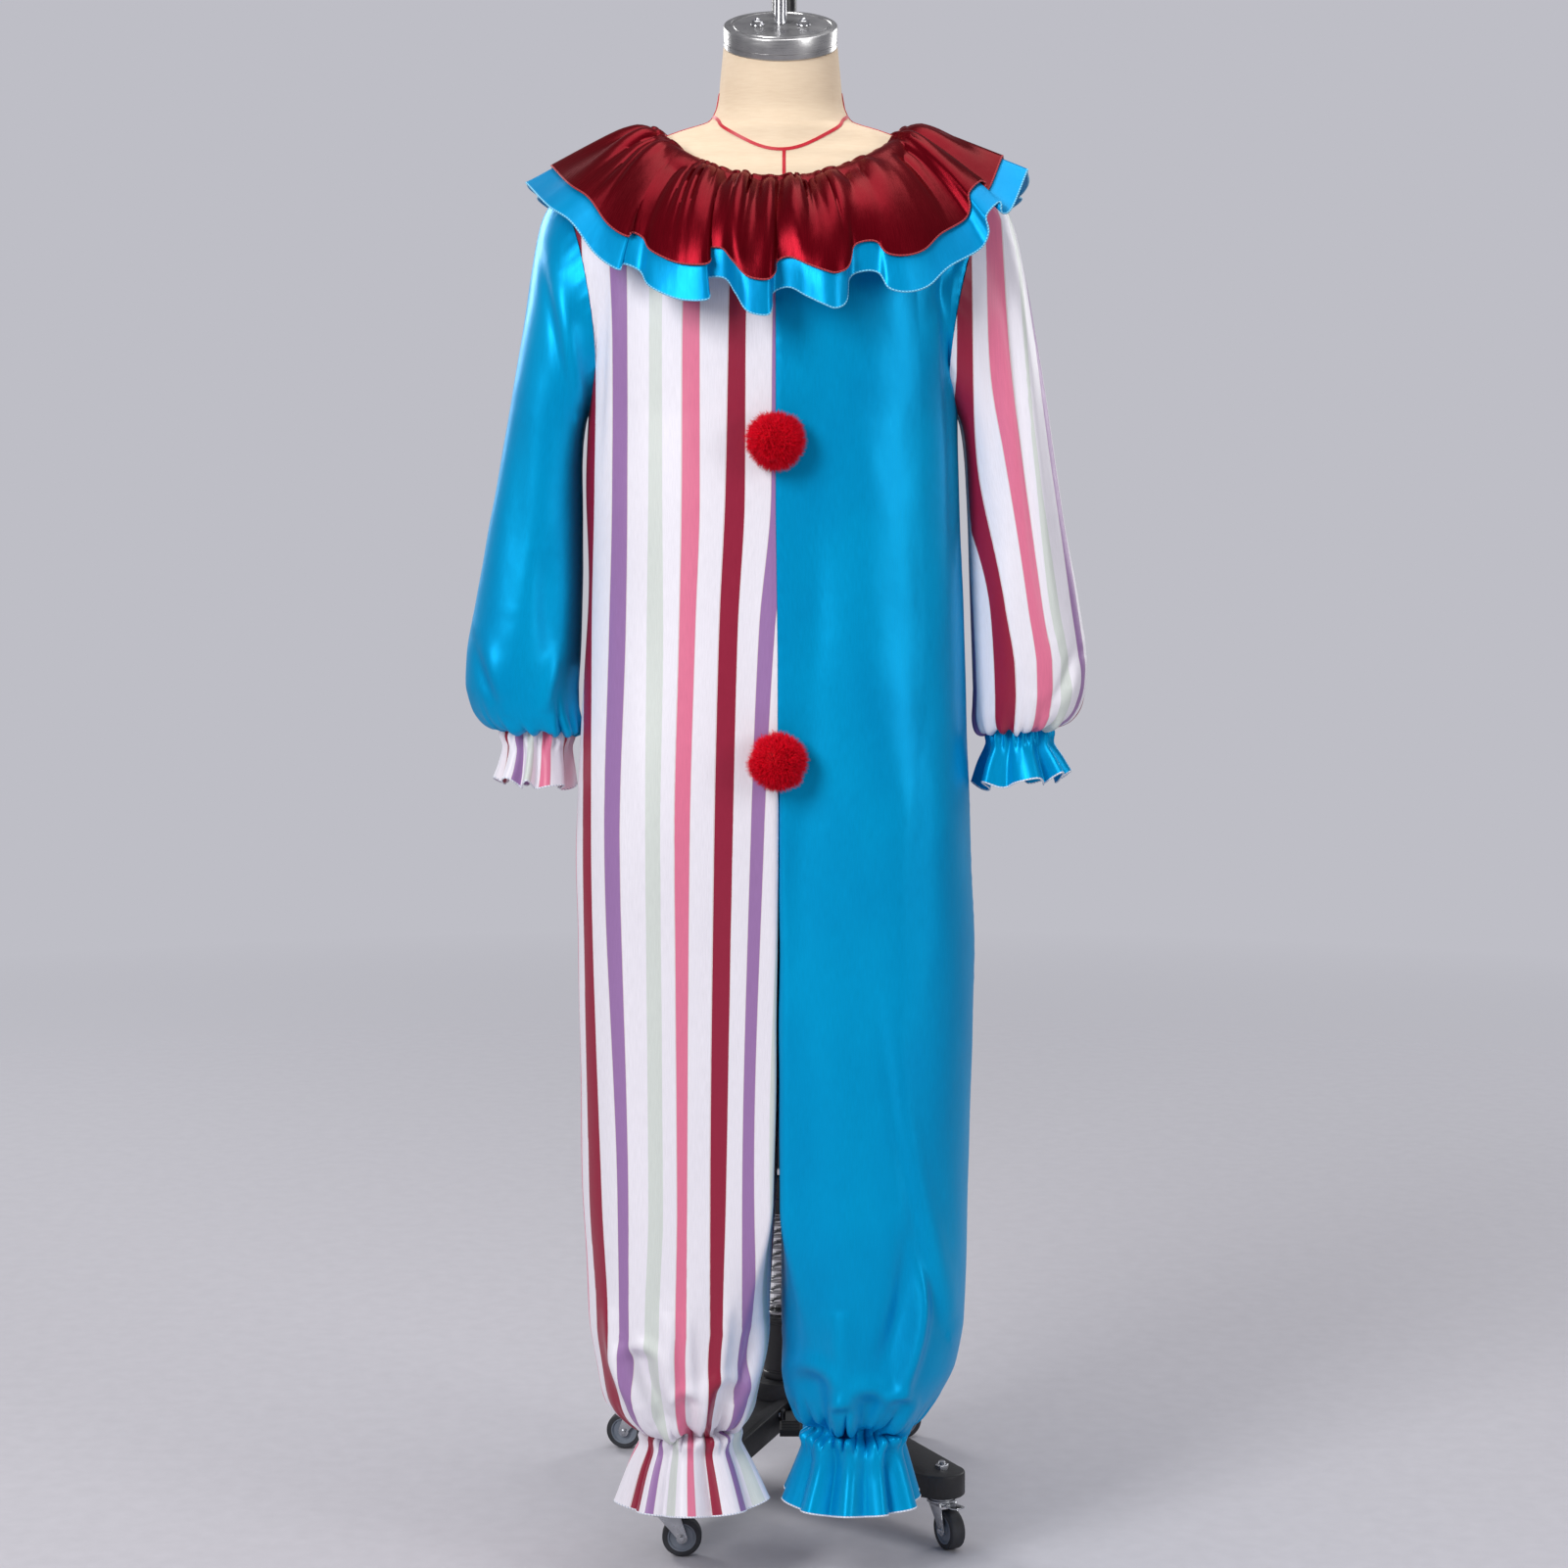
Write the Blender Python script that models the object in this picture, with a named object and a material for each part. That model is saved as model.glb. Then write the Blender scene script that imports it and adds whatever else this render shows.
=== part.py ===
"""Clown jumpsuit worn by a limbless dress form, which hangs from a wheeled pedal stand.

Metres, +Z up. The front faces -Y, and the striped half is at -X, the blue half at +X.
The origin is on the floor, below the middle of the whole. Cloth and form are drawn about
their own upright axis, FORM_Y in front of the origin, and the stand about its post, POST_Y
behind it. Each cloth piece is a thin wall between an outer grid of points and the same grid
moved in by the wall, and neighbours keep SEAM between them.
"""

import math

import bmesh
import bpy
import numpy as np
from mathutils import Matrix, Vector
from mathutils.bvhtree import BVHTree

# ---- driving sizes ---------------------------------------------------------------------------
FORM_Y = -0.175  # upright axis of the form and the garment
POST_Y = 0.125  # axis of the stand's post
POST_X = 0.004
CLOTH = 0.0012  # thickness of a cloth wall
SEAM = 0.0003  # space between pieces that meet
STRIPED, BLUE = -1, 1  # the two halves, by the sign of x
FRONT, BACK = -1, 1  # the two faces, by the sign of y

UNDERARM_Z = 1.27
SPLIT_Z = 0.93  # where the centre seam starts to turn in between the legs
CROTCH_Z = 0.79
NECK_HALF = 0.128  # half the width of the neckline, at the shoulder seam
SHOULDER_SLOPE = 0.355
RIDGE_X, RIDGE_Z = 0.066, 1.576  # where neck and shoulder of the form meet
SHOULDER_END = 0.185  # where the shoulder seam starts to droop
SEAT_GAP = 0.0004  # shoulder seam above the form's shoulder

COARSE, FINE = 10, 20  # columns of a panel above and below the knee
SLEEVE_COLUMNS = 18
CUFF_WAVES, CUFF_STEPS = 8, 4
COLLAR_FOLDS, COLLAR_STEPS = 18, 5


class Table:
    """Rows of sizes under named columns, keyed by the first, with a smooth curve through each."""

    def __init__(self, columns, rows):
        rows = sorted(rows)
        self.of = {name: np.array([row[i] for row in rows]) for i, name in enumerate(columns)}
        self.key = self.of[columns[0]]

    def at(self, name, where):
        x, y = self.key, self.of[name]
        step = np.diff(x)
        rise = np.diff(y) / step
        slope = np.concatenate([rise[:1], np.zeros(len(x) - 2), rise[-1:]])
        turn = rise[:-1] * rise[1:] > 0
        slope[1:-1][turn] = 2 * rise[:-1][turn] * rise[1:][turn] / (rise[:-1] + rise[1:])[turn]
        where = np.clip(np.asarray(where, float), x[0], x[-1])
        i = np.clip(np.searchsorted(x, where) - 1, 0, len(step) - 1)
        t = (where - x[i]) / step[i]
        return (
            y[i] * (1 + 2 * t) * (1 - t) ** 2
            + slope[i] * step[i] * t * (1 - t) ** 2
            + y[i + 1] * t**2 * (3 - 2 * t)
            + slope[i + 1] * step[i] * t**2 * (t - 1)
        )


# Outline of body and legs: how far the side seams and the inner leg edges lie from the centre
# seam, and how far the cloth stands in front of and behind the axis.
BODY = Table(
    ("z", "striped_out", "blue_out", "striped_in", "blue_in", "front", "back", "seam_x"),
    [
        (1.400, 0.190, 0.190, 0.0000, 0.0000, 0.124, 0.112, -0.006),
        (1.270, 0.197, 0.189, 0.0000, 0.0000, 0.130, 0.118, -0.005),
        (1.190, 0.200, 0.191, 0.0000, 0.0000, 0.132, 0.116, -0.005),
        (1.100, 0.198, 0.195, 0.0000, 0.0000, 0.131, 0.114, -0.004),
        (1.010, 0.203, 0.198, 0.0000, 0.0000, 0.130, 0.117, -0.003),
        (0.930, 0.208, 0.201, 0.0000, 0.0000, 0.128, 0.121, -0.003),
        (0.850, 0.213, 0.204, 0.0000, 0.0000, 0.124, 0.121, -0.002),
        (0.790, 0.215, 0.206, 0.0002, 0.0002, 0.119, 0.118, -0.002),
        (0.700, 0.215, 0.209, 0.0014, 0.0004, 0.112, 0.112, -0.001),
        (0.610, 0.214, 0.207, 0.0030, 0.0006, 0.107, 0.107, -0.001),
        (0.460, 0.213, 0.203, 0.0064, 0.0008, 0.102, 0.102, -0.001),
        (0.360, 0.208, 0.201, 0.0095, 0.0010, 0.100, 0.100, -0.001),
        (0.300, 0.2055, 0.198, 0.0130, 0.0010, 0.098, 0.098, -0.001),
        (0.253, 0.1985, 0.190, 0.0175, 0.0025, 0.094, 0.094, -0.001),
        (0.222, 0.193, 0.174, 0.0230, 0.0080, 0.088, 0.088, -0.001),
        (0.205, 0.186, 0.162, 0.0280, 0.0140, 0.081, 0.081, -0.001),
        (0.190, 0.173, 0.148, 0.0370, 0.0220, 0.070, 0.070, -0.001),
        (0.178, 0.146, 0.130, 0.0490, 0.0330, 0.048, 0.048, -0.001),
        (0.166, 0.148, 0.131, 0.0470, 0.0310, 0.050, 0.050, -0.001),
        (0.135, 0.159, 0.138, 0.0350, 0.0210, 0.060, 0.060, -0.001),
        (0.096, 0.172, 0.147, 0.0200, 0.0080, 0.072, 0.072, -0.001),
    ],
)
FINE_FROM = 0.30  # below this height the panels have their fine columns
PANEL_YOKE = (1.0, 0.86, 0.68, 0.46, 0.24, 0.10)  # rows above the underarm, as shares of the way up
PANEL_HEIGHTS = (1.27, 1.14, 1.0, 0.93, 0.885, 0.83, 0.79, 0.66, 0.52, 0.40, 0.30)
ANKLE_HEIGHTS = (0.25, 0.218, 0.195, 0.178, 0.160, 0.128, 0.096)
ANKLE_PUCKERS, HEM_WAVES = 10, 5  # on each panel
# how far puckers and waves stand out from the panel, by height
GATHER = Table(
    ("z", "pucker", "wave"),
    [
        (0.300, 0.0, 0.0),
        (0.250, 0.0015, 0.0),
        (0.205, 0.0040, 0.0),
        (0.190, 0.0040, 0.0),
        (0.178, 0.0022, 0.0),
        (0.160, 0.0022, 0.0025),
        (0.128, 0.0, 0.0075),
        (0.096, 0.0, 0.0115),
    ],
)

# Broad folds that run down the cloth: where each starts and ends (share of the panel from the
# centre to the side, height), its half width as such a share, and its depth, a trough below 0.
FOLD_COLUMNS = ("panel", "q0", "z0", "q1", "z1", "half", "depth")
FOLDS = [
    ("front_striped", 0.46, 1.32, 0.40, 0.52, 0.11, 0.005),
    ("front_striped", 0.70, 0.62, 0.62, 0.20, 0.09, -0.006),
    ("front_striped", 0.24, 0.44, 0.32, 0.19, 0.07, 0.008),
    ("front_blue", 0.12, 1.02, 0.16, 0.70, 0.10, -0.007),
    ("front_blue", 0.62, 0.66, 0.74, 0.36, 0.08, -0.009),
    ("front_blue", 0.30, 0.40, 0.36, 0.19, 0.07, 0.008),
    ("front_blue", 0.60, 0.36, 0.58, 0.19, 0.07, 0.007),
    ("front_blue", 0.44, 1.34, 0.40, 0.80, 0.12, 0.004),
    ("back_striped", 0.30, 1.30, 0.34, 0.84, 0.12, 0.006),
    ("back_striped", 0.66, 0.70, 0.58, 0.30, 0.09, -0.007),
    ("back_striped", 0.34, 0.42, 0.40, 0.19, 0.07, 0.008),
    ("back_blue", 0.36, 1.28, 0.30, 0.86, 0.12, 0.005),
    ("back_blue", 0.58, 0.74, 0.66, 0.32, 0.09, -0.008),
    ("back_blue", 0.36, 0.40, 0.32, 0.19, 0.07, 0.008),
]

# Armholes: the highest point of each, and how far the loop reaches forward and back.
ARMHOLE_TOP = {STRIPED: (0.235, 1.497), BLUE: (0.228, 1.499)}
ARMHOLE_DEPTH = 0.075

# Rings of the sleeves, from armhole to wrist: the outer and the inner end of each ring (distance
# from the middle, height), its half depth from front to back and the depth of its puckers.
SLEEVE_COLUMNS_OF = ("along", "outer_x", "outer_z", "inner_x", "inner_z", "depth", "pucker")
SLEEVE_BLUE = Table(
    SLEEVE_COLUMNS_OF,
    [
        (0.00, 0.235, 1.497, 0.202, 1.270, 0.075, 0.0),
        (0.06, 0.252, 1.464, 0.2068, 1.262, 0.073, 0.0),
        (0.14, 0.263, 1.410, 0.2078, 1.247, 0.070, 0.0),
        (0.24, 0.274, 1.340, 0.2080, 1.220, 0.066, 0.0),
        (0.36, 0.289, 1.255, 0.2082, 1.175, 0.064, 0.0),
        (0.49, 0.305, 1.160, 0.2085, 1.118, 0.064, 0.0),
        (0.62, 0.321, 1.075, 0.2100, 1.060, 0.065, 0.0),
        (0.73, 0.333, 1.015, 0.2125, 1.010, 0.065, 0.0),
        (0.82, 0.335, 0.983, 0.2145, 0.974, 0.063, 0.0020),
        (0.89, 0.328, 0.957, 0.2145, 0.947, 0.057, 0.0030),
        (0.95, 0.312, 0.941, 0.2150, 0.9330, 0.047, 0.0012),
        (1.00, 0.296, 0.938, 0.2225, 0.936, 0.035, 0.0),
    ],
)
SLEEVE_STRIPED = Table(
    SLEEVE_COLUMNS_OF,
    [
        (0.00, 0.228, 1.499, 0.184, 1.270, 0.075, 0.0),
        (0.06, 0.244, 1.466, 0.1895, 1.262, 0.073, 0.0),
        (0.14, 0.257, 1.410, 0.1925, 1.247, 0.070, 0.0),
        (0.24, 0.270, 1.340, 0.1945, 1.220, 0.066, 0.0),
        (0.36, 0.285, 1.255, 0.1965, 1.175, 0.064, 0.0),
        (0.49, 0.299, 1.160, 0.1985, 1.118, 0.063, 0.0),
        (0.62, 0.3145, 1.075, 0.2010, 1.060, 0.064, 0.0),
        (0.73, 0.3235, 1.015, 0.2030, 1.010, 0.064, 0.0),
        (0.82, 0.3245, 0.985, 0.2045, 0.974, 0.062, 0.0020),
        (0.89, 0.319, 0.960, 0.2070, 0.948, 0.055, 0.0030),
        (0.95, 0.304, 0.944, 0.2140, 0.934, 0.044, 0.0012),
        (1.00, 0.2855, 0.940, 0.2220, 0.938, 0.031, 0.0),
    ],
)
SLEEVE_PUCKERS = 9

# Rings of the wrist ruffles, downwards from the gather, and how far their waves stand out.
CUFF_COLUMNS_OF = ("down", "outer_x", "outer_z", "inner_x", "inner_z", "depth", "wave")
CUFF_STRIPED = Table(
    CUFF_COLUMNS_OF,
    [
        (0.0, 0.2952, 0.9376, 0.2233, 0.9356, 0.0342, 0.0),
        (0.3, 0.2945, 0.917, 0.2250, 0.915, 0.0340, 0.0030),
        (0.7, 0.2980, 0.895, 0.2240, 0.890, 0.0375, 0.0050),
        (1.0, 0.3025, 0.880, 0.2235, 0.872, 0.0415, 0.0058),
    ],
)
CUFF_BLUE = Table(
    CUFF_COLUMNS_OF,
    [
        (0.0, 0.2847, 0.9396, 0.2228, 0.9376, 0.0302, 0.0),
        (0.3, 0.2870, 0.920, 0.2210, 0.916, 0.0330, 0.0040),
        (0.7, 0.2960, 0.900, 0.2150, 0.893, 0.0400, 0.0062),
        (1.0, 0.3035, 0.884, 0.2110, 0.873, 0.0450, 0.0070),
    ],
)

# Collar ruffles: length from the neckline, slope of the cloth where it leaves the neckline and
# at its edge (degrees below level), for the front, the shoulder and the back.
COLLAR = Table(
    ("turn", "top_long", "under_long", "start", "end"),
    [
        (0.0, 0.120, 0.146, 18.0, 84.0),
        (22.0, 0.121, 0.148, 8.0, 80.0),
        (45.0, 0.122, 0.150, -12.0, 74.0),
        (65.0, 0.122, 0.152, -30.0, 64.0),
        (90.0, 0.122, 0.154, -27.0, 56.0),
        (135.0, 0.122, 0.152, -12.0, 70.0),
        (180.0, 0.120, 0.150, 0.0, 84.0),
    ],
)
COLLAR_ROWS = (0.0, 0.14, 0.42, 0.71, 1.0)
COLLAR_WAVE = 0.0135  # height of the folds at the upper ruffle's edge
COLLAR_LOOP = 0.30  # how far the folds curl over sideways, in steps of a fold
COLLAR_LIFT = 0.007  # how much the edge rises between folds
COLLAR_APART = 0.0022  # between the two ruffles, away from the neckline
COLLAR_ROOT = CLOTH + 0.0005  # from the neckline to the under ruffle's outer side
COLLAR_ROOM = 0.0032  # least distance from the cloth below to the ruffles' outer side

NECKLINE_FRONT = (0.100, 1.507)  # depth and height of the neckline's lowest point
NECKLINE_BACK = (0.088, 1.538)
NECKLINE_BEND = 1.8

POMPOM_R = 0.031
POMPOMS = (("pompom_upper", 1.243), ("pompom_lower", 0.915))

# Rings of the form, upwards: half width and depth, place of the middle, lean and squareness.
FORM = Table(
    ("z", "half", "deep", "y", "lean", "power"),
    [
        (0.868, 0.134, 0.090, 0.0, 0.0, 2.2),
        (0.885, 0.148, 0.100, 0.0, 0.0, 2.2),
        (0.960, 0.160, 0.108, 0.0, 0.0, 2.2),
        (1.040, 0.150, 0.100, 0.0, 0.0, 2.2),
        (1.130, 0.127, 0.086, 0.0, 0.0, 2.2),
        (1.220, 0.143, 0.096, 0.0, 0.0, 2.3),
        (1.310, 0.160, 0.106, 0.0, 0.0, 2.3),
        (1.390, 0.168, 0.103, 0.0, 0.0, 2.3),
        (1.450, 0.172, 0.095, 0.0, 0.0, 2.2),
        (1.495, 0.175, 0.085, 0.0, 0.0, 2.0),
        (1.522, 0.177, 0.076, 0.0, 0.0, 1.7),
        (1.5370, 0.1758, 0.069, 0.0, 0.0, 1.45),
        (1.5480, 0.145, 0.065, 0.0, 0.0, 1.4),
        (1.5622, 0.105, 0.062, 0.0, 0.0, 1.6),
        (1.5735, 0.073, 0.061, 0.002, 2.0, 1.9),
        (1.592, 0.0655, 0.060, 0.005, 6.0, 2.0),
        (1.620, 0.0625, 0.0585, 0.002, 13.0, 2.0),
        (1.650, 0.0595, 0.0575, -0.0015, 19.5, 2.0),
    ],
)
FORM_COLUMNS = 20
CAP_LEAN = 19.5  # degrees that the neck's top leans forward
CAP_R, CAP_THICK = 0.0595, 0.0225
BOLT_SPREAD = 0.024

# Heights of the stand
ARM_END_TOP, ARM_END_BOTTOM = 0.085, 0.058
ARM_HUB_TOP, ARM_HUB_BOTTOM = 0.135, 0.104
ARM_LONG = 0.250
ARM_TURNS = {"front_right": -45.0, "front_left": -121.5, "rear_right": 58.5, "rear_left": 135.0}
HUB_TOP, HUB_BOTTOM, HUB_R = 0.142, 0.100, 0.046
SOCKET_TOP, SOCKET_R = 0.215, 0.025
SPRING_TOP, SPRING_R, SPRING_WIRE, SPRING_TURNS = 0.338, 0.0215, 0.0022, 10
GUIDE_TOP, GUIDE_R = 0.90, 0.0120
COLLAR_RING_TOP = 0.382
MAST_TOP, MAST_R, MAST_BORE = 1.780, 0.0140, 0.0125
ROD_R, ROD_TOP = 0.0063, 1.748
GOOSE_R = 0.0125
PEDAL_HINGE = (POST_X + 0.0075, POST_Y - 0.0625, 0.1135)
PEDAL_HALF = 0.006  # half width of the pedal's bar
WHEEL_R, WHEEL_HALF, WHEEL_SIDES = 0.022, 0.0085, 16
TRAIL = 0.017  # from a caster's pivot to its axle
CASTER_TURNS = {"front_right": -62.0, "front_left": 0.0, "rear_right": 20.0, "rear_left": 170.0}


# ---- meshes ------------------------------------------------------------------------------------
def clear_scene():
    for obj in list(bpy.data.objects):
        bpy.data.objects.remove(obj, do_unlink=True)


def finish(name, colour, roughness, metallic=0.0):
    """A material of one colour for a piece."""
    made = bpy.data.materials.get(name) or bpy.data.materials.new(name)
    made.use_nodes = True
    shader = made.node_tree.nodes["Principled BSDF"]
    shader.inputs["Base Color"].default_value = (*colour, 1.0)
    shader.inputs["Roughness"].default_value = roughness
    shader.inputs["Metallic"].default_value = metallic
    return made


def place(name, data, material, at=(0.0, 0.0, 0.0), turn=(0.0, 0.0, 0.0), parent=None):
    """An object in the scene; at and turn are world values."""
    obj = bpy.data.objects.new(name, data)
    bpy.context.scene.collection.objects.link(obj)
    if not data.materials:
        data.materials.append(material)
    world = Matrix.LocRotScale(Vector(at), Matrix.Identity(3), None)
    for axis, angle in zip("XYZ", turn):
        world = world @ Matrix.Rotation(angle, 4, axis)
    if parent:
        obj.parent = parent
        obj.matrix_parent_inverse = parent_world(parent).inverted()
    obj.matrix_basis = world
    return obj


def parent_world(obj):
    """World matrix of an object whose parents keep their parent inverse."""
    if obj.parent is None:
        return obj.matrix_basis.copy()
    return parent_world(obj.parent) @ obj.matrix_parent_inverse @ obj.matrix_basis


def pivot(name, at, parent=None):
    """An empty on a joint's axis."""
    obj = bpy.data.objects.new(name, None)
    bpy.context.scene.collection.objects.link(obj)
    if parent:
        obj.parent = parent
        obj.matrix_parent_inverse = parent_world(parent).inverted()
    obj.matrix_basis = Matrix.Translation(Vector(at))
    return obj


def mesh_of(name, bm, smooth_angle=40.0):
    bmesh.ops.recalc_face_normals(bm, faces=bm.faces)
    mesh = bpy.data.meshes.new(name)
    bm.to_mesh(mesh)
    bm.free()
    mesh.shade_smooth()
    mesh.set_sharp_from_angle(angle=math.radians(smooth_angle))
    return mesh


def turned(name, profile, sides):
    """A round piece about Z from a closed outline of (radius, height) points off the axis, or
    from an open one that starts and ends on the axis."""
    bm = bmesh.new()
    rings = []
    for radius, z in profile:
        if radius == 0:
            rings.append([bm.verts.new((0, 0, z))])
            continue
        angles = (2 * math.pi * (i + 0.5) / sides for i in range(sides))
        rings.append([bm.verts.new((radius * math.cos(a), radius * math.sin(a), z)) for a in angles])
    closed = profile[0][0] > 0
    for low, high in zip(rings, rings[1:] + (rings[:1] if closed else [])):
        for i in range(sides):
            j = (i + 1) % sides
            corners = [low[i % len(low)], low[j % len(low)], high[j % len(high)], high[i % len(high)]]
            bm.faces.new(list(dict.fromkeys(corners)))
    return mesh_of(name, bm)


def disc(name, radius, low, high, sides=24, chamfer=0.0):
    profile = [(0, low), (radius, low), (radius, high - chamfer)]
    if chamfer:
        profile.append((radius - chamfer, high))
    return turned(name, profile + [(0, high)], sides)


def tube(name, radius, bore, low, high, sides=16):
    return turned(name, [(radius, low), (radius, high), (bore, high), (bore, low)], sides)


def bar(name, points, radius, resolution):
    """A round bar along points, as a curve with a bevel."""
    curve = bpy.data.curves.new(name, "CURVE")
    curve.dimensions = "3D"
    curve.bevel_depth = radius
    curve.bevel_resolution = resolution
    curve.use_fill_caps = True
    spline = curve.splines.new("POLY")
    spline.points.add(len(points) - 1)
    for point, at in zip(spline.points, points):
        point.co = (*at, 1.0)
    spline.use_smooth = True
    return curve


# ---- cloth walls -------------------------------------------------------------------------------
def unit(vectors):
    return vectors / np.maximum(np.linalg.norm(vectors, axis=-1, keepdims=True), 1e-12)


def normals_of(grid, around):
    """Normals of a grid of points; around says that its columns close into a ring."""
    if around:
        across = np.roll(grid, -1, axis=1) - np.roll(grid, 1, axis=1)
    else:
        across = np.gradient(grid, axis=1)
    along = np.gradient(grid, axis=0)
    return unit(np.cross(across, along))


def facing_out(normals, grid, middle):
    """The normals, turned to point away from the middle of each row."""
    out = np.sum(normals * (grid - middle), axis=-1).sum() >= 0
    return normals if out else -normals


def folds_less(a, b, c, d):
    """Whether a quad folds less when it is cut from b to d than from a to c."""

    def flatness(p, q, r, s):
        n, m = np.cross(q - p, r - p), np.cross(r - p, s - p)
        return n @ m / max(np.linalg.norm(n) * np.linalg.norm(m), 1e-15)

    return flatness(b, c, d, a) > flatness(a, b, c, d) + 0.01


def grid_faces(grid, around):
    """Triangles between the rows of a grid, whose columns may double from a row to the next."""
    starts = np.cumsum([0] + [len(row) for row in grid])
    faces = []
    for r, (above, below) in enumerate(zip(grid, grid[1:])):
        wide, fine = len(above), len(below)
        for i in range(wide if around else wide - 1):
            j = (i + 1) % wide
            a, b = starts[r] + i, starts[r] + j
            if fine > wide:
                d, h, c = (starts[r + 1] + k % fine for k in (2 * i, 2 * i + 1, 2 * i + 2))
                faces += [(a, h, d), (a, b, h), (b, c, h)]
                continue
            c, d = starts[r + 1] + j, starts[r + 1] + i
            if folds_less(above[i], above[j], below[j], below[i]):
                faces += [(a, b, d), (b, c, d)]
            else:
                faces += [(a, b, c), (a, c, d)]
    return faces


def wall(name, outer, inner, around, coarse_rows=0):
    """A closed wall between two grids of points. The first coarse_rows rows use every other
    column, and columns close into a ring where around is true. Both sides are cut into the
    same triangles, so the wall keeps its thickness."""
    steps = [2 if r < coarse_rows else 1 for r in range(len(outer))]
    outer = [row[::step] for row, step in zip(outer, steps)]
    inner = [row[::step] for row, step in zip(inner, steps)]
    faces = grid_faces(outer, around)
    points = np.concatenate(outer + inner)
    half = len(points) // 2
    faces += [tuple(i + half for i in face[::-1]) for face in faces]
    starts = np.cumsum([0] + [len(row) for row in outer])
    rim = [list(range(starts[-2], starts[-1])), list(range(starts[1]))[::-1]]
    if around:
        rim = [line + line[:1] for line in rim]
    else:
        rim.append([int(start) for start in starts[:-1]])
        rim.append([int(start) - 1 for start in starts[:0:-1]])
    for line in rim:
        for i, j in zip(line, line[1:]):
            faces.append((i, j, j + half, i + half))
    mesh = bpy.data.meshes.new(name)
    mesh.from_pydata(points.tolist(), [], [tuple(int(i) for i in face) for face in faces])
    bm = bmesh.new()
    bm.from_mesh(mesh)
    bpy.data.meshes.remove(mesh)
    return mesh_of(name, bm, 60.0)


def spaced(points, shares):
    """Points at these shares of the length of a line of points."""
    length = np.concatenate([[0], np.cumsum(np.linalg.norm(np.diff(points, axis=0), axis=1))])
    length /= length[-1]
    return np.stack([np.interp(shares, length, points[:, k]) for k in range(points.shape[1])], 1)


def power(value, exponent):
    return np.sign(value) * np.abs(value) ** exponent


# ---- body and legs -----------------------------------------------------------------------------
HALF_NAME = {STRIPED: "striped", BLUE: "blue"}
FACE_NAME = {FRONT: "front", BACK: "back"}
DENSE = np.linspace(0.0, 1.0, 61)


def section(side, face, shares, z):
    """Points across half of one face at height z, from the centre seam or the inner leg seam to
    the side seam. The torso's quarter oval turns into half of the leg's oval at the crotch."""
    half = HALF_NAME[side]
    out, inner = BODY.at(half + "_out", z), BODY.at(half + "_in", z)
    deep = BODY.at(FACE_NAME[face], z)
    quarter = DENSE * math.pi / 2
    torso = np.stack([out * np.sin(quarter) ** 0.8, deep * np.cos(quarter) ** 0.8], 1)
    turn = DENSE * math.pi
    middle, reach = (inner + out) / 2, (out - inner) / 2
    leg = np.stack([middle - reach * power(np.cos(turn), 0.85), deep * np.sin(turn) ** 0.85], 1)
    fall = np.clip((SPLIT_Z - z) / (SPLIT_Z - CROTCH_Z), 0, 1)
    parted = 1 - math.sqrt(1 - fall**2)
    line = (1 - parted) * spaced(torso, DENSE) + parted * spaced(leg, DENSE)
    line = spaced(line, shares)
    x = BODY.at("seam_x", z) + side * (line[:, 0] + SEAM / 2)
    return np.stack([x, face * (line[:, 1] + SEAM / 2), np.full(len(x), z)], 1)


def neckline(face, turn):
    """Points of the neckline, turn running from 0 at the centre to 90 degrees at the shoulder."""
    deep, low = NECKLINE_FRONT if face == FRONT else NECKLINE_BACK
    high = ridge_z(NECK_HALF)
    z = high - (high - low) * np.cos(turn) ** NECKLINE_BEND
    return np.sin(turn), deep * np.cos(turn), z


def ridge_z(x):
    """Height of the cloth's outer side on the straight of the form's shoulder."""
    lift = (CLOTH + SEAT_GAP) * math.hypot(1, SHOULDER_SLOPE)
    return RIDGE_Z - SHOULDER_SLOPE * (x - RIDGE_X) + lift


def shoulder(side, shares):
    """Shoulder seam from the neckline to the armhole: straight on the form, then it droops."""
    top_x, top_z = ARMHOLE_TOP[side]
    x = NECK_HALF + (top_x - NECK_HALF) * shares
    past = np.clip(x - SHOULDER_END, 0, None) / (top_x - SHOULDER_END)
    drop = ridge_z(top_x) - top_z
    return x, ridge_z(x) - drop * past**1.6


NECK_SHARE = 0.6  # share of a panel's top row that lies on the neckline


def yoke(side, face, shares, up):
    """Points across a panel between the underarm (up 0) and its top edge (up 1)."""
    low = section(side, face, shares, UNDERARM_Z)
    high = np.zeros_like(low)
    on_neck = shares <= NECK_SHARE
    turn = np.where(on_neck, shares / NECK_SHARE, 1.0) * math.pi / 2
    wide, deep, z = neckline(face, turn)
    seam_x = BODY.at("seam_x", 1.4) + side * SEAM / 2
    along = np.clip((shares - NECK_SHARE) / (1 - NECK_SHARE), 0, 1)
    seam_line_x, seam_line_z = shoulder(side, along)
    high[:, 0] = np.where(on_neck, seam_x + (side * NECK_HALF - seam_x) * wide, side * seam_line_x)
    high[:, 1] = face * (np.where(on_neck, deep, 0.0) + SEAM / 2)
    high[:, 2] = np.where(on_neck, z, seam_line_z)
    angle = up * math.pi / 2
    bend = 0.78
    back_share = 1 - math.cos(angle) ** bend
    rise_share = math.sin(angle) ** bend
    side_share = (1 - math.cos(up * math.pi)) / 2
    grid = low.copy()
    grid[:, 0] += (high[:, 0] - low[:, 0]) * side_share
    grid[:, 1] += (high[:, 1] - low[:, 1]) * back_share
    grid[:, 2] += (high[:, 2] - low[:, 2]) * rise_share
    loop = armhole(side, face, np.array([up]))[0]
    grid += (loop - grid[-1]) * (shares**3)[:, None]
    return grid


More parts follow.
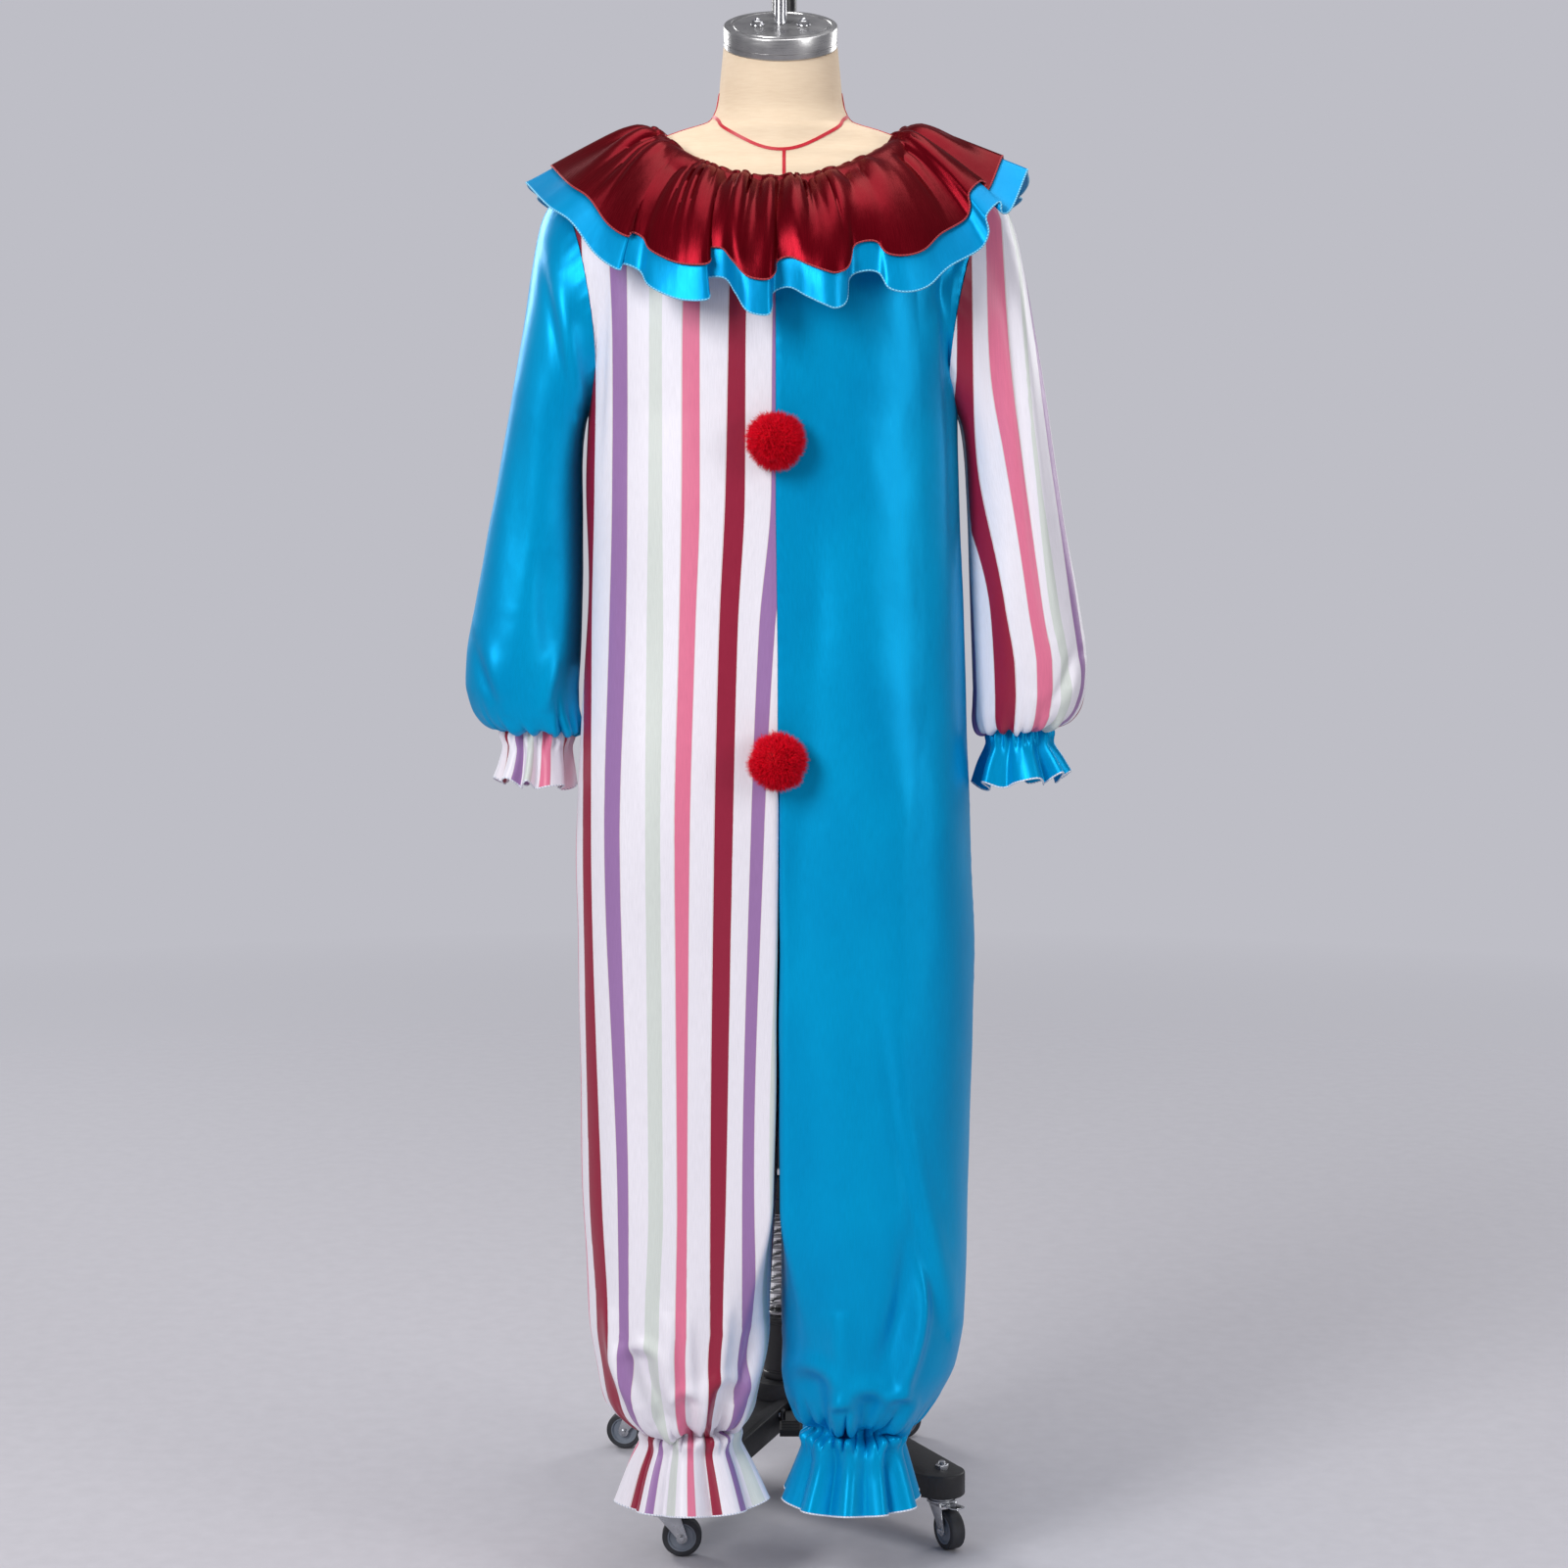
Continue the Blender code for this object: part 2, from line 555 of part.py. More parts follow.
def armhole(side, face, up):
    """Points of an armhole from the underarm (0) to the shoulder (1), on one face."""
    low = section(side, face, np.array([1.0]), UNDERARM_Z)[0]
    top_x, top_z = ARMHOLE_TOP[side]
    high = np.array([side * top_x, face * SEAM / 2, top_z])
    middle, half = (low + high) / 2, (high - low) / 2
    grid = middle - half * np.cos(up * math.pi)[:, None]
    grid[:, 1] += face * ARMHOLE_DEPTH * np.sin(up * math.pi)
    return grid


def armhole_out(side):
    """Direction out of the armhole, towards the sleeve."""
    low, high = armhole(side, FRONT, np.array([0.0, 1.0]))
    rise = high - low
    out = np.array([rise[2], 0.0, -rise[0]])
    return out / np.linalg.norm(out) * (1 if out[0] * side > 0 else -1)


def fold_push(name, shares, z):
    """How far the broad folds of a panel stand out at height z."""
    push = np.zeros(len(shares))
    for row in FOLDS:
        fold = dict(zip(FOLD_COLUMNS, row))
        if fold["panel"] != name:
            continue
        along = (fold["z0"] - z) / (fold["z0"] - fold["z1"])
        if not 0 < along < 1:
            continue
        middle = fold["q0"] + (fold["q1"] - fold["q0"]) * along
        across = (shares - middle) / fold["half"]
        push += fold["depth"] * math.sin(along * math.pi) ** 0.7 * np.exp(-(across**2))
    return push


def panel(side, face):
    """Grids of one quarter of the garment, torso and leg in one piece."""
    name = FACE_NAME[face] + "_" + HALF_NAME[side]
    shares = np.linspace(0.0, 1.0, FINE + 1)
    heights = PANEL_HEIGHTS + ANKLE_HEIGHTS
    rows = [yoke(side, face, shares, up) for up in PANEL_YOKE]
    rows += [section(side, face, shares, z) for z in heights]
    grid = np.array(rows)
    middle = np.array([0.0, 0.0, 1.2])
    level = grid.copy()
    level[..., 2] = middle[2]
    out = facing_out(normals_of(grid, False), level, middle)
    for r, row in enumerate(grid):
        z = row[FINE // 2, 2]
        edge = np.minimum(1, np.minimum(shares, 1 - shares) * 8)
        push = fold_push(name, shares, z) * edge
        push += GATHER.at("pucker", z) * np.cos(2 * math.pi * ANKLE_PUCKERS * shares)
        push += GATHER.at("wave", z) * np.cos(2 * math.pi * HEM_WAVES * shares)
        if z <= 0.30:
            tied = border_normals(out[r], side, face, z)
            grid[r] += tied * push[:, None]
        else:
            grid[r] += out[r] * push[:, None]
    out = facing_out(normals_of(grid, False), level, middle)
    aside = armhole_out(side)
    yoke_rows = len(PANEL_YOKE)
    for r, row in enumerate(grid):
        if r >= yoke_rows:
            out[r] = border_normals(out[r], side, face, heights[r - yoke_rows])
            continue
        out[r, 0, 0] = 0.0
        over = min(out[r, -1] @ aside, 0.0)
        out[r, -1] -= over * aside
        if r == 0:
            out[r, shares >= NECK_SHARE, 1] = 0.0
    out = unit(out)
    return name, grid, grid - out * CLOTH


def border_normals(out, side, face, z):
    """Normals of a row whose two ends stay in the plane of their seams."""
    out = out.copy()
    out[-1, 1] = 0.0
    if z > CROTCH_Z + 0.001:
        out[0, 0] = 0.0
    else:
        out[0] = (-side, 0.0, 0.0)
    return unit(out)


def jumpsuit_panels(cloths):
    """The four quarters; hands back their meshes."""
    coarse, meshes = len(PANEL_YOKE) + len(PANEL_HEIGHTS), []
    for side in (STRIPED, BLUE):
        for face in (FRONT, BACK):
            name, outer, inner = panel(side, face)
            mesh = wall(name, outer, inner, False, coarse)
            place(name, mesh, cloths[HALF_NAME[side]], at=(0, FORM_Y, 0))
            meshes.append(mesh)
    return meshes


# ---- sleeves and wrist ruffles -----------------------------------------------------------------
def ring(side, outer_end, inner_end, deep, turns, squareness=0.92):
    """A ring between an outer and an inner end, for turns that start at the inner end."""
    outer_end, inner_end = np.array(outer_end), np.array(inner_end)
    middle, half = (outer_end + inner_end) / 2, (outer_end - inner_end) / 2
    line = middle - half * power(np.cos(turns), squareness)[:, None]
    x, z = side * line[:, 0], line[:, 1]
    return np.stack([x, -deep * power(np.sin(turns), squareness), z], 1)


def table_ring(table, side, where, turns, squareness):
    ends = [(table.at(end + "_x", where), table.at(end + "_z", where)) for end in ("outer", "inner")]
    return ring(side, ends[0], ends[1], table.at("depth", where), turns, squareness)


def ring_middles(grid):
    return grid.mean(axis=1, keepdims=True)


def sleeve(name, side, table, material):
    turns = np.linspace(0, 2 * math.pi, SLEEVE_COLUMNS + 1)[:-1]
    loop = np.array([row for row in armhole_loop(side, turns)])
    rows = [loop + armhole_out(side) * SEAM]
    for where in table.key[1:]:
        rows.append(table_ring(table, side, where, turns, 0.95))
    grid = np.array(rows)
    out = facing_out(normals_of(grid, True), grid, ring_middles(grid))
    for r, where in enumerate(table.key):
        push = table.at("pucker", where) * np.cos(SLEEVE_PUCKERS * turns)
        grid[r] += out[r] * push[:, None]
    out = facing_out(normals_of(grid, True), grid, ring_middles(grid))
    aside = armhole_out(side)
    over = np.maximum(out[0] @ aside, 0.0)
    out[0] = unit(out[0] - over[:, None] * aside)
    mesh = wall(name, grid, grid - out * CLOTH, True)
    place(name, mesh, material, at=(0, FORM_Y, 0))
    return mesh


def armhole_loop(side, turns):
    """The whole armhole for turns that start at the underarm and go by the front."""
    points = []
    for turn in turns:
        face = FRONT if turn <= math.pi else BACK
        up = turn / math.pi if turn <= math.pi else 2 - turn / math.pi
        points.append(armhole(side, face, np.array([up]))[0])
    return points


def cuff(name, side, table, material):
    """A wrist ruffle, which hangs from inside the sleeve's gather."""
    columns = CUFF_WAVES * CUFF_STEPS
    turns = np.linspace(0, 2 * math.pi, columns + 1)[:-1]
    grid = np.array([table_ring(table, side, where, turns, 1.0) for where in table.key])
    out = facing_out(normals_of(grid, True), grid, ring_middles(grid))
    for r, where in enumerate(table.key):
        push = table.at("wave", where) * np.cos(CUFF_WAVES * turns)
        grid[r] += out[r] * push[:, None]
    out = facing_out(normals_of(grid, True), grid, ring_middles(grid))
    mesh = wall(name, grid, grid - out * CLOTH, True)
    place(name, mesh, material, at=(0, FORM_Y, 0))


# ---- collar ------------------------------------------------------------------------------------
def collar_point(turn, down):
    """A point of the collar before its folds, down metres from the neckline at this turn, and
    the direction away from the body there. turn is in degrees, 0 at the centre front."""
    folded = abs((turn + 180) % 360 - 180)
    face = FRONT if folded <= 90 else BACK
    across = math.radians(folded if folded <= 90 else 180 - folded)
    chords = np.linspace(0, math.pi / 2, round(COARSE * NECK_SHARE) + 1)
    wide, deep, z = (np.interp(across, chords, line) for line in neckline(face, chords))
    side = 1 if (turn % 360) < 180 else -1
    radial = np.array([side * math.sin(across) * 0.9, face * math.cos(across), 0.0])
    radial /= np.linalg.norm(radial)
    seam_x = BODY.at("seam_x", 1.4)
    root = np.array([seam_x + (side * NECK_HALF - seam_x) * wide, face * deep, z])
    start, end = (math.radians(COLLAR.at(name, folded)) for name in ("start", "end"))
    long = COLLAR.at("top_long", folded)
    steps = np.linspace(0, down, 9)
    slopes = start + (end - start) * np.minimum(steps / long, 1.12)
    middles = (slopes[:-1] + slopes[1:]) / 2
    reach, fall = (np.sum(f(middles) * np.diff(steps)) for f in (np.cos, np.sin))
    slope = slopes[-1]
    point = root + radial * reach - np.array([0, 0, fall])
    away = radial * math.sin(slope) + np.array([0, 0, math.cos(slope)])
    return point, away


def collar_grid(cloth_below):
    """Points of the under ruffle. Its rows but the last are also those of the upper one, and
    none comes closer to the cloth below than a wall and some room. Also the direction away
    from the body at each point of the neckline."""
    columns = COLLAR_FOLDS * COLLAR_STEPS
    grid = np.zeros((len(COLLAR_ROWS) + 1, columns, 3))
    root_away = np.zeros((columns, 3))
    for c in range(columns):
        phase = 2 * math.pi * c / COLLAR_STEPS
        turn = collar_turn(c / columns)
        folded = abs((turn + 180) % 360 - 180)
        long = COLLAR.at("top_long", folded)
        downs = [share * long for share in COLLAR_ROWS] + [COLLAR.at("under_long", folded)]
        for r, down in enumerate(downs):
            curl = COLLAR_LOOP * (down / long) ** 1.5 * math.sin(2 * phase) * 90 / COLLAR_FOLDS
            point, away = collar_point(turn + curl, down)
            grown = (down / 0.12) ** 1.3
            point += away * (COLLAR_ROOT + COLLAR_WAVE * grown * math.cos(phase))
            point[2] -= COLLAR_LIFT * grown * math.cos(phase)
            if r == 0:
                root_away[c] = away
            else:
                found, normal, _, distance = cloth_below.find_nearest(Vector(point))
                signed = distance if (Vector(point) - found).dot(normal) > 0 else -distance
                if signed < COLLAR_ROOM:
                    point += np.array(normal) * (COLLAR_ROOM - signed)
            grid[r, c] = point
    return grid, root_away


def collars(cloth_below, burgundy, blue):
    """Both ruffles: the upper is the under one's points moved out, up to its own edge."""
    grid, root_away = collar_grid(cloth_below)
    middle = np.array([0.0, 0.0, 1.3])
    out = facing_out(normals_of(grid, True), grid, middle)
    out[0] = root_away
    mesh = wall("collar_under", grid, grid - out * CLOTH, True)
    place("collar_under", mesh, blue, at=(0, FORM_Y, 0))
    grown = np.minimum(1.0, np.array(COLLAR_ROWS) * 3)[:, None, None]
    apart = CLOTH + SEAM + (COLLAR_APART - SEAM) * grown
    raised = grid[:-1] + out[:-1] * apart
    above = facing_out(normals_of(raised, True), raised, middle)
    above[0] = root_away
    mesh = wall("collar_top", raised, raised - above * CLOTH, True)
    place("collar_top", mesh, burgundy, at=(0, FORM_Y, 0))


def collar_turn(share):
    """Angle about the neck for a share of the way round, even along the ruffle's edge."""
    turns = np.linspace(-180, 180, 361)
    wide, deep = NECK_HALF + 0.11, 0.165
    line = np.stack([wide * np.sin(np.radians(turns)), deep * np.cos(np.radians(turns))], 1)
    length = np.concatenate([[0], np.cumsum(np.linalg.norm(np.diff(line, axis=0), axis=1))])
    return float(np.interp(share * length[-1], length, turns))


def outside_of(meshes):
    """One search tree over the outer sides of some walls."""
    verts, faces = [], []
    for mesh in meshes:
        first, half = len(verts), len(mesh.vertices) // 2
        verts += [vert.co.copy() for vert in mesh.vertices]
        outer = (list(face.vertices) for face in mesh.polygons if max(face.vertices) < half)
        faces += [[first + i for i in face] for face in outer]
    return BVHTree.FromPolygons(verts, faces)


# ---- pompoms -----------------------------------------------------------------------------------
def front_at(x, z, cloth):
    """How far the cloth's outer side stands in front of the axis at a height."""
    hit = cloth.ray_cast(Vector((x, -0.4, z)), Vector((0, 1, 0)))[0]
    return -hit.y


def pompom(name, z, cloth, material):
    """A ball of three-sided locks that stand on a round core, flat where it meets the cloth."""
    core, middle_x = POMPOM_R * 0.60, float(BODY.at("seam_x", z))
    spots = [(middle_x + dx, z + dz) for dx in (-0.009, 0.009) for dz in (-0.009, 0, 0.009)]
    seat = max(front_at(x, z_, cloth) for x, z_ in spots) + SEAM
    middle = Vector((middle_x, -(seat + core * 0.80), z))
    bm = bmesh.new()
    bmesh.ops.create_icosphere(bm, subdivisions=2, radius=core)
    bmesh.ops.translate(bm, verts=bm.verts, vec=middle)
    locks = [f for f in bm.faces if (f.calc_center_median() - middle).normalized().y < 0.45]
    for i, face in enumerate(locks):
        out = (face.calc_center_median() - middle).normalized()
        bmesh.ops.inset_individual(bm, faces=[face], thickness=core * 0.07)
        tip = bmesh.ops.poke(bm, faces=[face])["verts"][0]
        length = POMPOM_R * (1.0 + 0.05 * math.sin(2.4 * i))
        tip.co = middle + out * length
        tip.co.y = min(tip.co.y, -seat - 0.002)
    for vert in bm.verts:
        vert.co.y = min(vert.co.y, -seat)
    place(name, mesh_of(name, bm, 20.0), material, at=(0, FORM_Y, 0))


# ---- form --------------------------------------------------------------------------------------
def lean_at(point, centre_y, z, degrees):
    """A point turned forwards about the middle of its ring."""
    turned_point = Matrix.Rotation(math.radians(degrees), 3, "X") @ Vector(
        (point[0], point[1] - centre_y, point[2] - z)
    )
    return turned_point + Vector((0, centre_y, z))


def form_torso(material):
    bm = bmesh.new()
    rings = []
    for z, half, deep, y, lean, square in zip(*(FORM.of[k] for k in FORM.of)):
        row = []
        for c in range(FORM_COLUMNS):
            angle = 2 * math.pi * c / FORM_COLUMNS
            x = half * power(math.cos(angle), 2 / square)
            point = (x, y + deep * power(math.sin(angle), 2 / square), z)
            row.append(bm.verts.new(lean_at(point, y, z, lean)))
        rings.append(row)
    for low, high in zip(rings, rings[1:]):
        for c in range(FORM_COLUMNS):
            d = (c + 1) % FORM_COLUMNS
            bm.faces.new([low[c], low[d], high[d], high[c]])
    bm.faces.new(rings[0][::-1])
    bm.faces.new(rings[-1])
    place("form_torso", mesh_of("form_torso", bm), material, at=(0, FORM_Y, 0))


def neck_fittings(metals):
    """The leaning metal cap with its two bolts."""
    lean = math.radians(CAP_LEAN)
    out = Vector((0, -math.sin(lean), math.cos(lean)))
    seat = Vector((0, FORM_Y + FORM.of["y"][-1], FORM.key[-1])) + out * SEAM
    cap = disc("neck_cap", CAP_R, 0, CAP_THICK, 32, 0.0015)
    place("neck_cap", cap, metals["brushed"], at=seat, turn=(lean, 0, 0))
    for name, x in (("cap_bolt_left", -BOLT_SPREAD), ("cap_bolt_right", BOLT_SPREAD)):
        at = seat + out * (CAP_THICK + SEAM) + Vector((x, 0, 0))
        place(name, disc(name, 0.006, 0, 0.008, 6, 0.001), metals["chrome"], at=at, turn=(lean, 0, 0))


# ---- stand -------------------------------------------------------------------------------------
def arm_mesh(name):
    """One arm of the base along +X from the hub, sloping down to a round end."""
    half_hub, half_end = 0.030, 0.026
    outline = [(0.0, -half_hub), (ARM_LONG, -half_end)]
    for i in range(1, 8):
        angle = math.pi * (i / 8 - 0.5)
        outline.append((ARM_LONG + half_end * math.cos(angle), half_end * math.sin(angle)))
    outline += [(ARM_LONG, half_end), (0.0, half_hub)]

    def height(x, hub, end):
        return hub + (end - hub) * min(x / (ARM_LONG - 0.03), 1.0)

    bm = bmesh.new()
    mid = [(ARM_LONG - 0.03, -half_end - 0.0004), (ARM_LONG - 0.03, half_end + 0.0004)]
    outline.insert(1, mid[0])
    outline.insert(len(outline) - 1, mid[1])
    top = [bm.verts.new((x, y, height(x, ARM_HUB_TOP, ARM_END_TOP))) for x, y in outline]
    low = [bm.verts.new((x, y, height(x, ARM_HUB_BOTTOM, ARM_END_BOTTOM))) for x, y in outline]
    count = len(outline)
    inner, outer = [0, 1, count - 2, count - 1], list(range(1, count - 1))
    for ring_, flip in ((top, False), (low, True)):
        for part in (inner, outer):
            face = [ring_[i] for i in part]
            bm.faces.new(face[::-1] if flip else face)
    for i in range(count):
        j = (i + 1) % count
        bm.faces.new([low[i], low[j], top[j], top[i]])
    return mesh_of(name, bm)


def helper(name, mesh, at=(0, 0, 0), turn=(0, 0, 0)):
    """A shape that only takes part in a Boolean."""
    obj = place(name, mesh, finish("helper", (1, 0, 1), 0.5), at=at, turn=turn)
    obj.hide_render = True
    obj.display_type = "WIRE"
    return obj


def unite(obj, others):
    for other in others:
        union = obj.modifiers.new("join " + other.name, "BOOLEAN")
        union.operation = "UNION"
        union.solver = "EXACT"
        union.object = other


def base(metals):
    """Cast base: a hub, four arms and the nuts that hold the casters' pivots."""
    hub = turned(
        "base",
        [(0, HUB_BOTTOM), (HUB_R, HUB_BOTTOM), (HUB_R, HUB_TOP - 0.012),
         (HUB_R - 0.008, HUB_TOP), (0, HUB_TOP)],
        20,
    )
    body = place("base", hub, metals["iron"], at=(POST_X, POST_Y, 0))
    joined = []
    for corner, degrees in ARM_TURNS.items():
        turn = math.radians(degrees)
        arm = arm_mesh("arm_" + corner)
        joined.append(helper("arm_" + corner, arm, (POST_X, POST_Y, 0), (0, 0, turn)))
        nut = disc("nut_" + corner, 0.0075, ARM_END_TOP - 0.004, ARM_END_TOP + 0.007, 6, 0.003)
        joined.append(helper("nut_" + corner, nut, pivot_at(corner)))
    for side in (-1, 1):
        ear = bmesh.new()
        bmesh.ops.create_cube(ear, size=1.0, matrix=Matrix.Diagonal((0.006, 0.014, 0.014, 1)))
        at = Vector(PEDAL_HINGE) + Vector((side * (PEDAL_HALF + SEAM + 0.003), 0.003, 0))
        joined.append(helper("pedal_ear", mesh_of("pedal_ear", ear), at))
    unite(body, joined)


def pivot_at(corner):
    """The floor point below a caster's pivot."""
    turn = math.radians(ARM_TURNS[corner])
    return (POST_X + ARM_LONG * math.cos(turn), POST_Y + ARM_LONG * math.sin(turn), 0.0)


def column(metals):
    """The fixed part of the post: socket, guide tube and the spring that the mast lands on."""
    at = (POST_X, POST_Y, 0)
    socket = tube("post_socket", SOCKET_R, MAST_BORE, HUB_TOP + SEAM, SOCKET_TOP, 20)
    place("post_socket", socket, metals["black"], at=at)
    guide = disc("guide_tube", GUIDE_R, HUB_TOP + SEAM, GUIDE_TOP, 16)
    place("guide_tube", guide, metals["chrome"], at=at)
    low = SOCKET_TOP + SEAM + SPRING_WIRE
    high = SPRING_TOP - SEAM - SPRING_WIRE
    steps = SPRING_TURNS * 8
    turns = [(2 * math.pi * SPRING_TURNS * i / steps, i / steps) for i in range(steps + 1)]
    around = SPRING_R - SPRING_WIRE
    coil = [(around * math.cos(a), around * math.sin(a), low + (high - low) * s) for a, s in turns]
    spring = bar("landing_spring", coil, SPRING_WIRE, 0)
    place("landing_spring", spring, metals["steel"], at=at)


def mast(metals, lift):
    """The sliding part of the post, its curved top and the rod that carries the form."""
    at = (POST_X, POST_Y, 0)
    ring_ = tube("mast_collar", SOCKET_R - 0.001, MAST_BORE, SPRING_TOP, COLLAR_RING_TOP, 20)
    place("mast_collar", ring_, metals["black"], at=at, parent=lift)
    washer = tube("mast_washer", MAST_R + 0.003, MAST_BORE, COLLAR_RING_TOP + SEAM, 0.391, 20)
    place("mast_washer", washer, metals["chrome"], at=at, parent=lift)
    post = tube("mast_tube", MAST_R, MAST_BORE, 0.391 + SEAM, MAST_TOP, 16)
    place("mast_tube", post, metals["black"], at=at, parent=lift)
    reach = (POST_Y - FORM_Y) / 2
    bend = [(POST_X, POST_Y, MAST_TOP + SEAM), (POST_X, POST_Y, MAST_TOP + 0.02)]
    middle_z = MAST_TOP + 0.035
    for i in range(13):
        angle = math.pi * i / 12
        share = i / 12
        x = POST_X * (1 - share)
        bend.append((x, POST_Y - reach + reach * math.cos(angle), middle_z + 0.12 * math.sin(angle)))
    bend.append((0, FORM_Y, ROD_TOP + 0.032))
    place("gooseneck", bar("gooseneck", bend, GOOSE_R, 2), metals["black"], parent=lift)
    clamp = disc("rod_clamp", 0.017, ROD_TOP + SEAM, ROD_TOP + 0.0315, 16, 0.002)
    place("rod_clamp", clamp, metals["black"], at=(0, FORM_Y, 0), parent=lift)


def hanger_rod(metals, lift):
    """The rod from the clamp down to the leaning cap, its end cut to the cap's slope."""
    lean = math.radians(CAP_LEAN)
    rise = (CAP_THICK + 2 * SEAM) / math.cos(lean) - FORM.of["y"][-1] * math.tan(lean)
    rod = disc("hanger_rod", ROD_R, 0, ROD_TOP, 12)
    for vert in rod.vertices:
        if vert.co.z == 0:
            vert.co.z = FORM.key[-1] + rise + vert.co.y * math.tan(lean)
    place("hanger_rod", rod, metals["chrome"], at=(0, FORM_Y, 0), parent=lift)




def pedal(metals):
    """Foot lever in front of the hub: a bar on a hinge with a ribbed pad."""
    hinge = pivot("pedal_hinge", PEDAL_HINGE)
    bm = bmesh.new()
    half, near, far, thick = PEDAL_HALF, -0.036, -0.071, 0.004
    pad_half = 0.0125
    outline = [
        (-half, 0.003), (half, 0.003), (half, near), (pad_half, near),
        (pad_half, far), (-pad_half, far), (-pad_half, near), (-half, near),
    ]
    high = [bm.verts.new((x, y, thick)) for x, y in outline]
    low = [bm.verts.new((x, y, -thick)) for x, y in outline]
    for ring_, flip in ((high, False), (low, True)):
        for part in ([0, 1, 2, 7], [2, 3, 4, 5, 6, 7]):
            face = [ring_[i] for i in part]
            bm.faces.new(face[::-1] if flip else face)
    for i in range(8):
        j = (i + 1) % 8
        bm.faces.new([low[i], low[j], high[j], high[i]])
    place("pedal", mesh_of("pedal", bm), metals["rubber"], at=PEDAL_HINGE, parent=hinge)


def fork_mesh():
    """A caster's fork: a channel over the wheel that trails from its pivot, under a round head."""
    gap, leg = WHEEL_HALF + 0.0008, 0.0022
    top, slot, low = ARM_END_BOTTOM - 0.0063, 0.0468, WHEEL_R - 0.006
    half_top, half_low = 0.014, 0.0065
    section_ = [
        (-gap - leg, low), (-gap - leg, top), (gap + leg, top), (gap + leg, low),
        (gap, low), (gap, slot), (-gap, slot), (-gap, low),
    ]
    bm = bmesh.new()
    ends = []
    for sign in (-1, 1):
        row = []
        for y, z in section_:
            down = (top - z) / (top - low)
            x = TRAIL * down + sign * (half_top + (half_low - half_top) * down)
            row.append(bm.verts.new((x, y, z)))
        ends.append(row)
    for row, flip in ((ends[0], True), (ends[1], False)):
        for part in ([0, 1, 6, 7], [1, 2, 5, 6], [2, 3, 4, 5]):
            face = [row[i] for i in part]
            bm.faces.new(face[::-1] if flip else face)
    for i in range(8):
        j = (i + 1) % 8
        bm.faces.new([ends[0][i], ends[0][j], ends[1][j], ends[1][i]])
    channel = helper("fork_channel", mesh_of("fork_channel", bm))
    head_low, head_high = ARM_END_BOTTOM - 0.0073, ARM_END_BOTTOM - SEAM
    head = helper("fork_head", disc("fork_head", 0.0165, head_low, head_high, 16))
    unite(channel, [head])
    graph = bpy.context.evaluated_depsgraph_get()
    joined = bpy.data.meshes.new_from_object(channel.evaluated_get(graph))
    for used in (channel, head):
        bpy.data.objects.remove(used, do_unlink=True)
    joined.materials.clear()
    return joined


def wheel_mesh():
    """A wheel about Y with a flat facet at its lowest point."""
    rim = WHEEL_R / math.cos(math.pi / WHEEL_SIDES)
    mesh = turned(
        "wheel",
        [(0, -WHEEL_HALF), (rim - 0.0015, -WHEEL_HALF), (rim, -WHEEL_HALF + 0.002),
         (rim, WHEEL_HALF - 0.002), (rim - 0.0015, WHEEL_HALF), (0, WHEEL_HALF)],
        WHEEL_SIDES,
    )
    mesh.transform(Matrix.Rotation(math.pi / 2, 4, "X"))
    return mesh


def casters(metals):
    fork, wheel = fork_mesh(), wheel_mesh()
    for corner in ARM_TURNS:
        at = Vector(pivot_at(corner))
        turn = math.radians(CASTER_TURNS[corner])
        swivel = pivot("swivel_" + corner, at)
        place("fork_" + corner, fork, metals["zinc"], at=at, turn=(0, 0, turn), parent=swivel)
        axle = at + Vector((TRAIL * math.cos(turn), TRAIL * math.sin(turn), WHEEL_R))
        spin = pivot("spin_" + corner, axle, swivel)
        place("wheel_" + corner, wheel, metals["tyre"], at=axle, turn=(0, 0, turn), parent=spin)


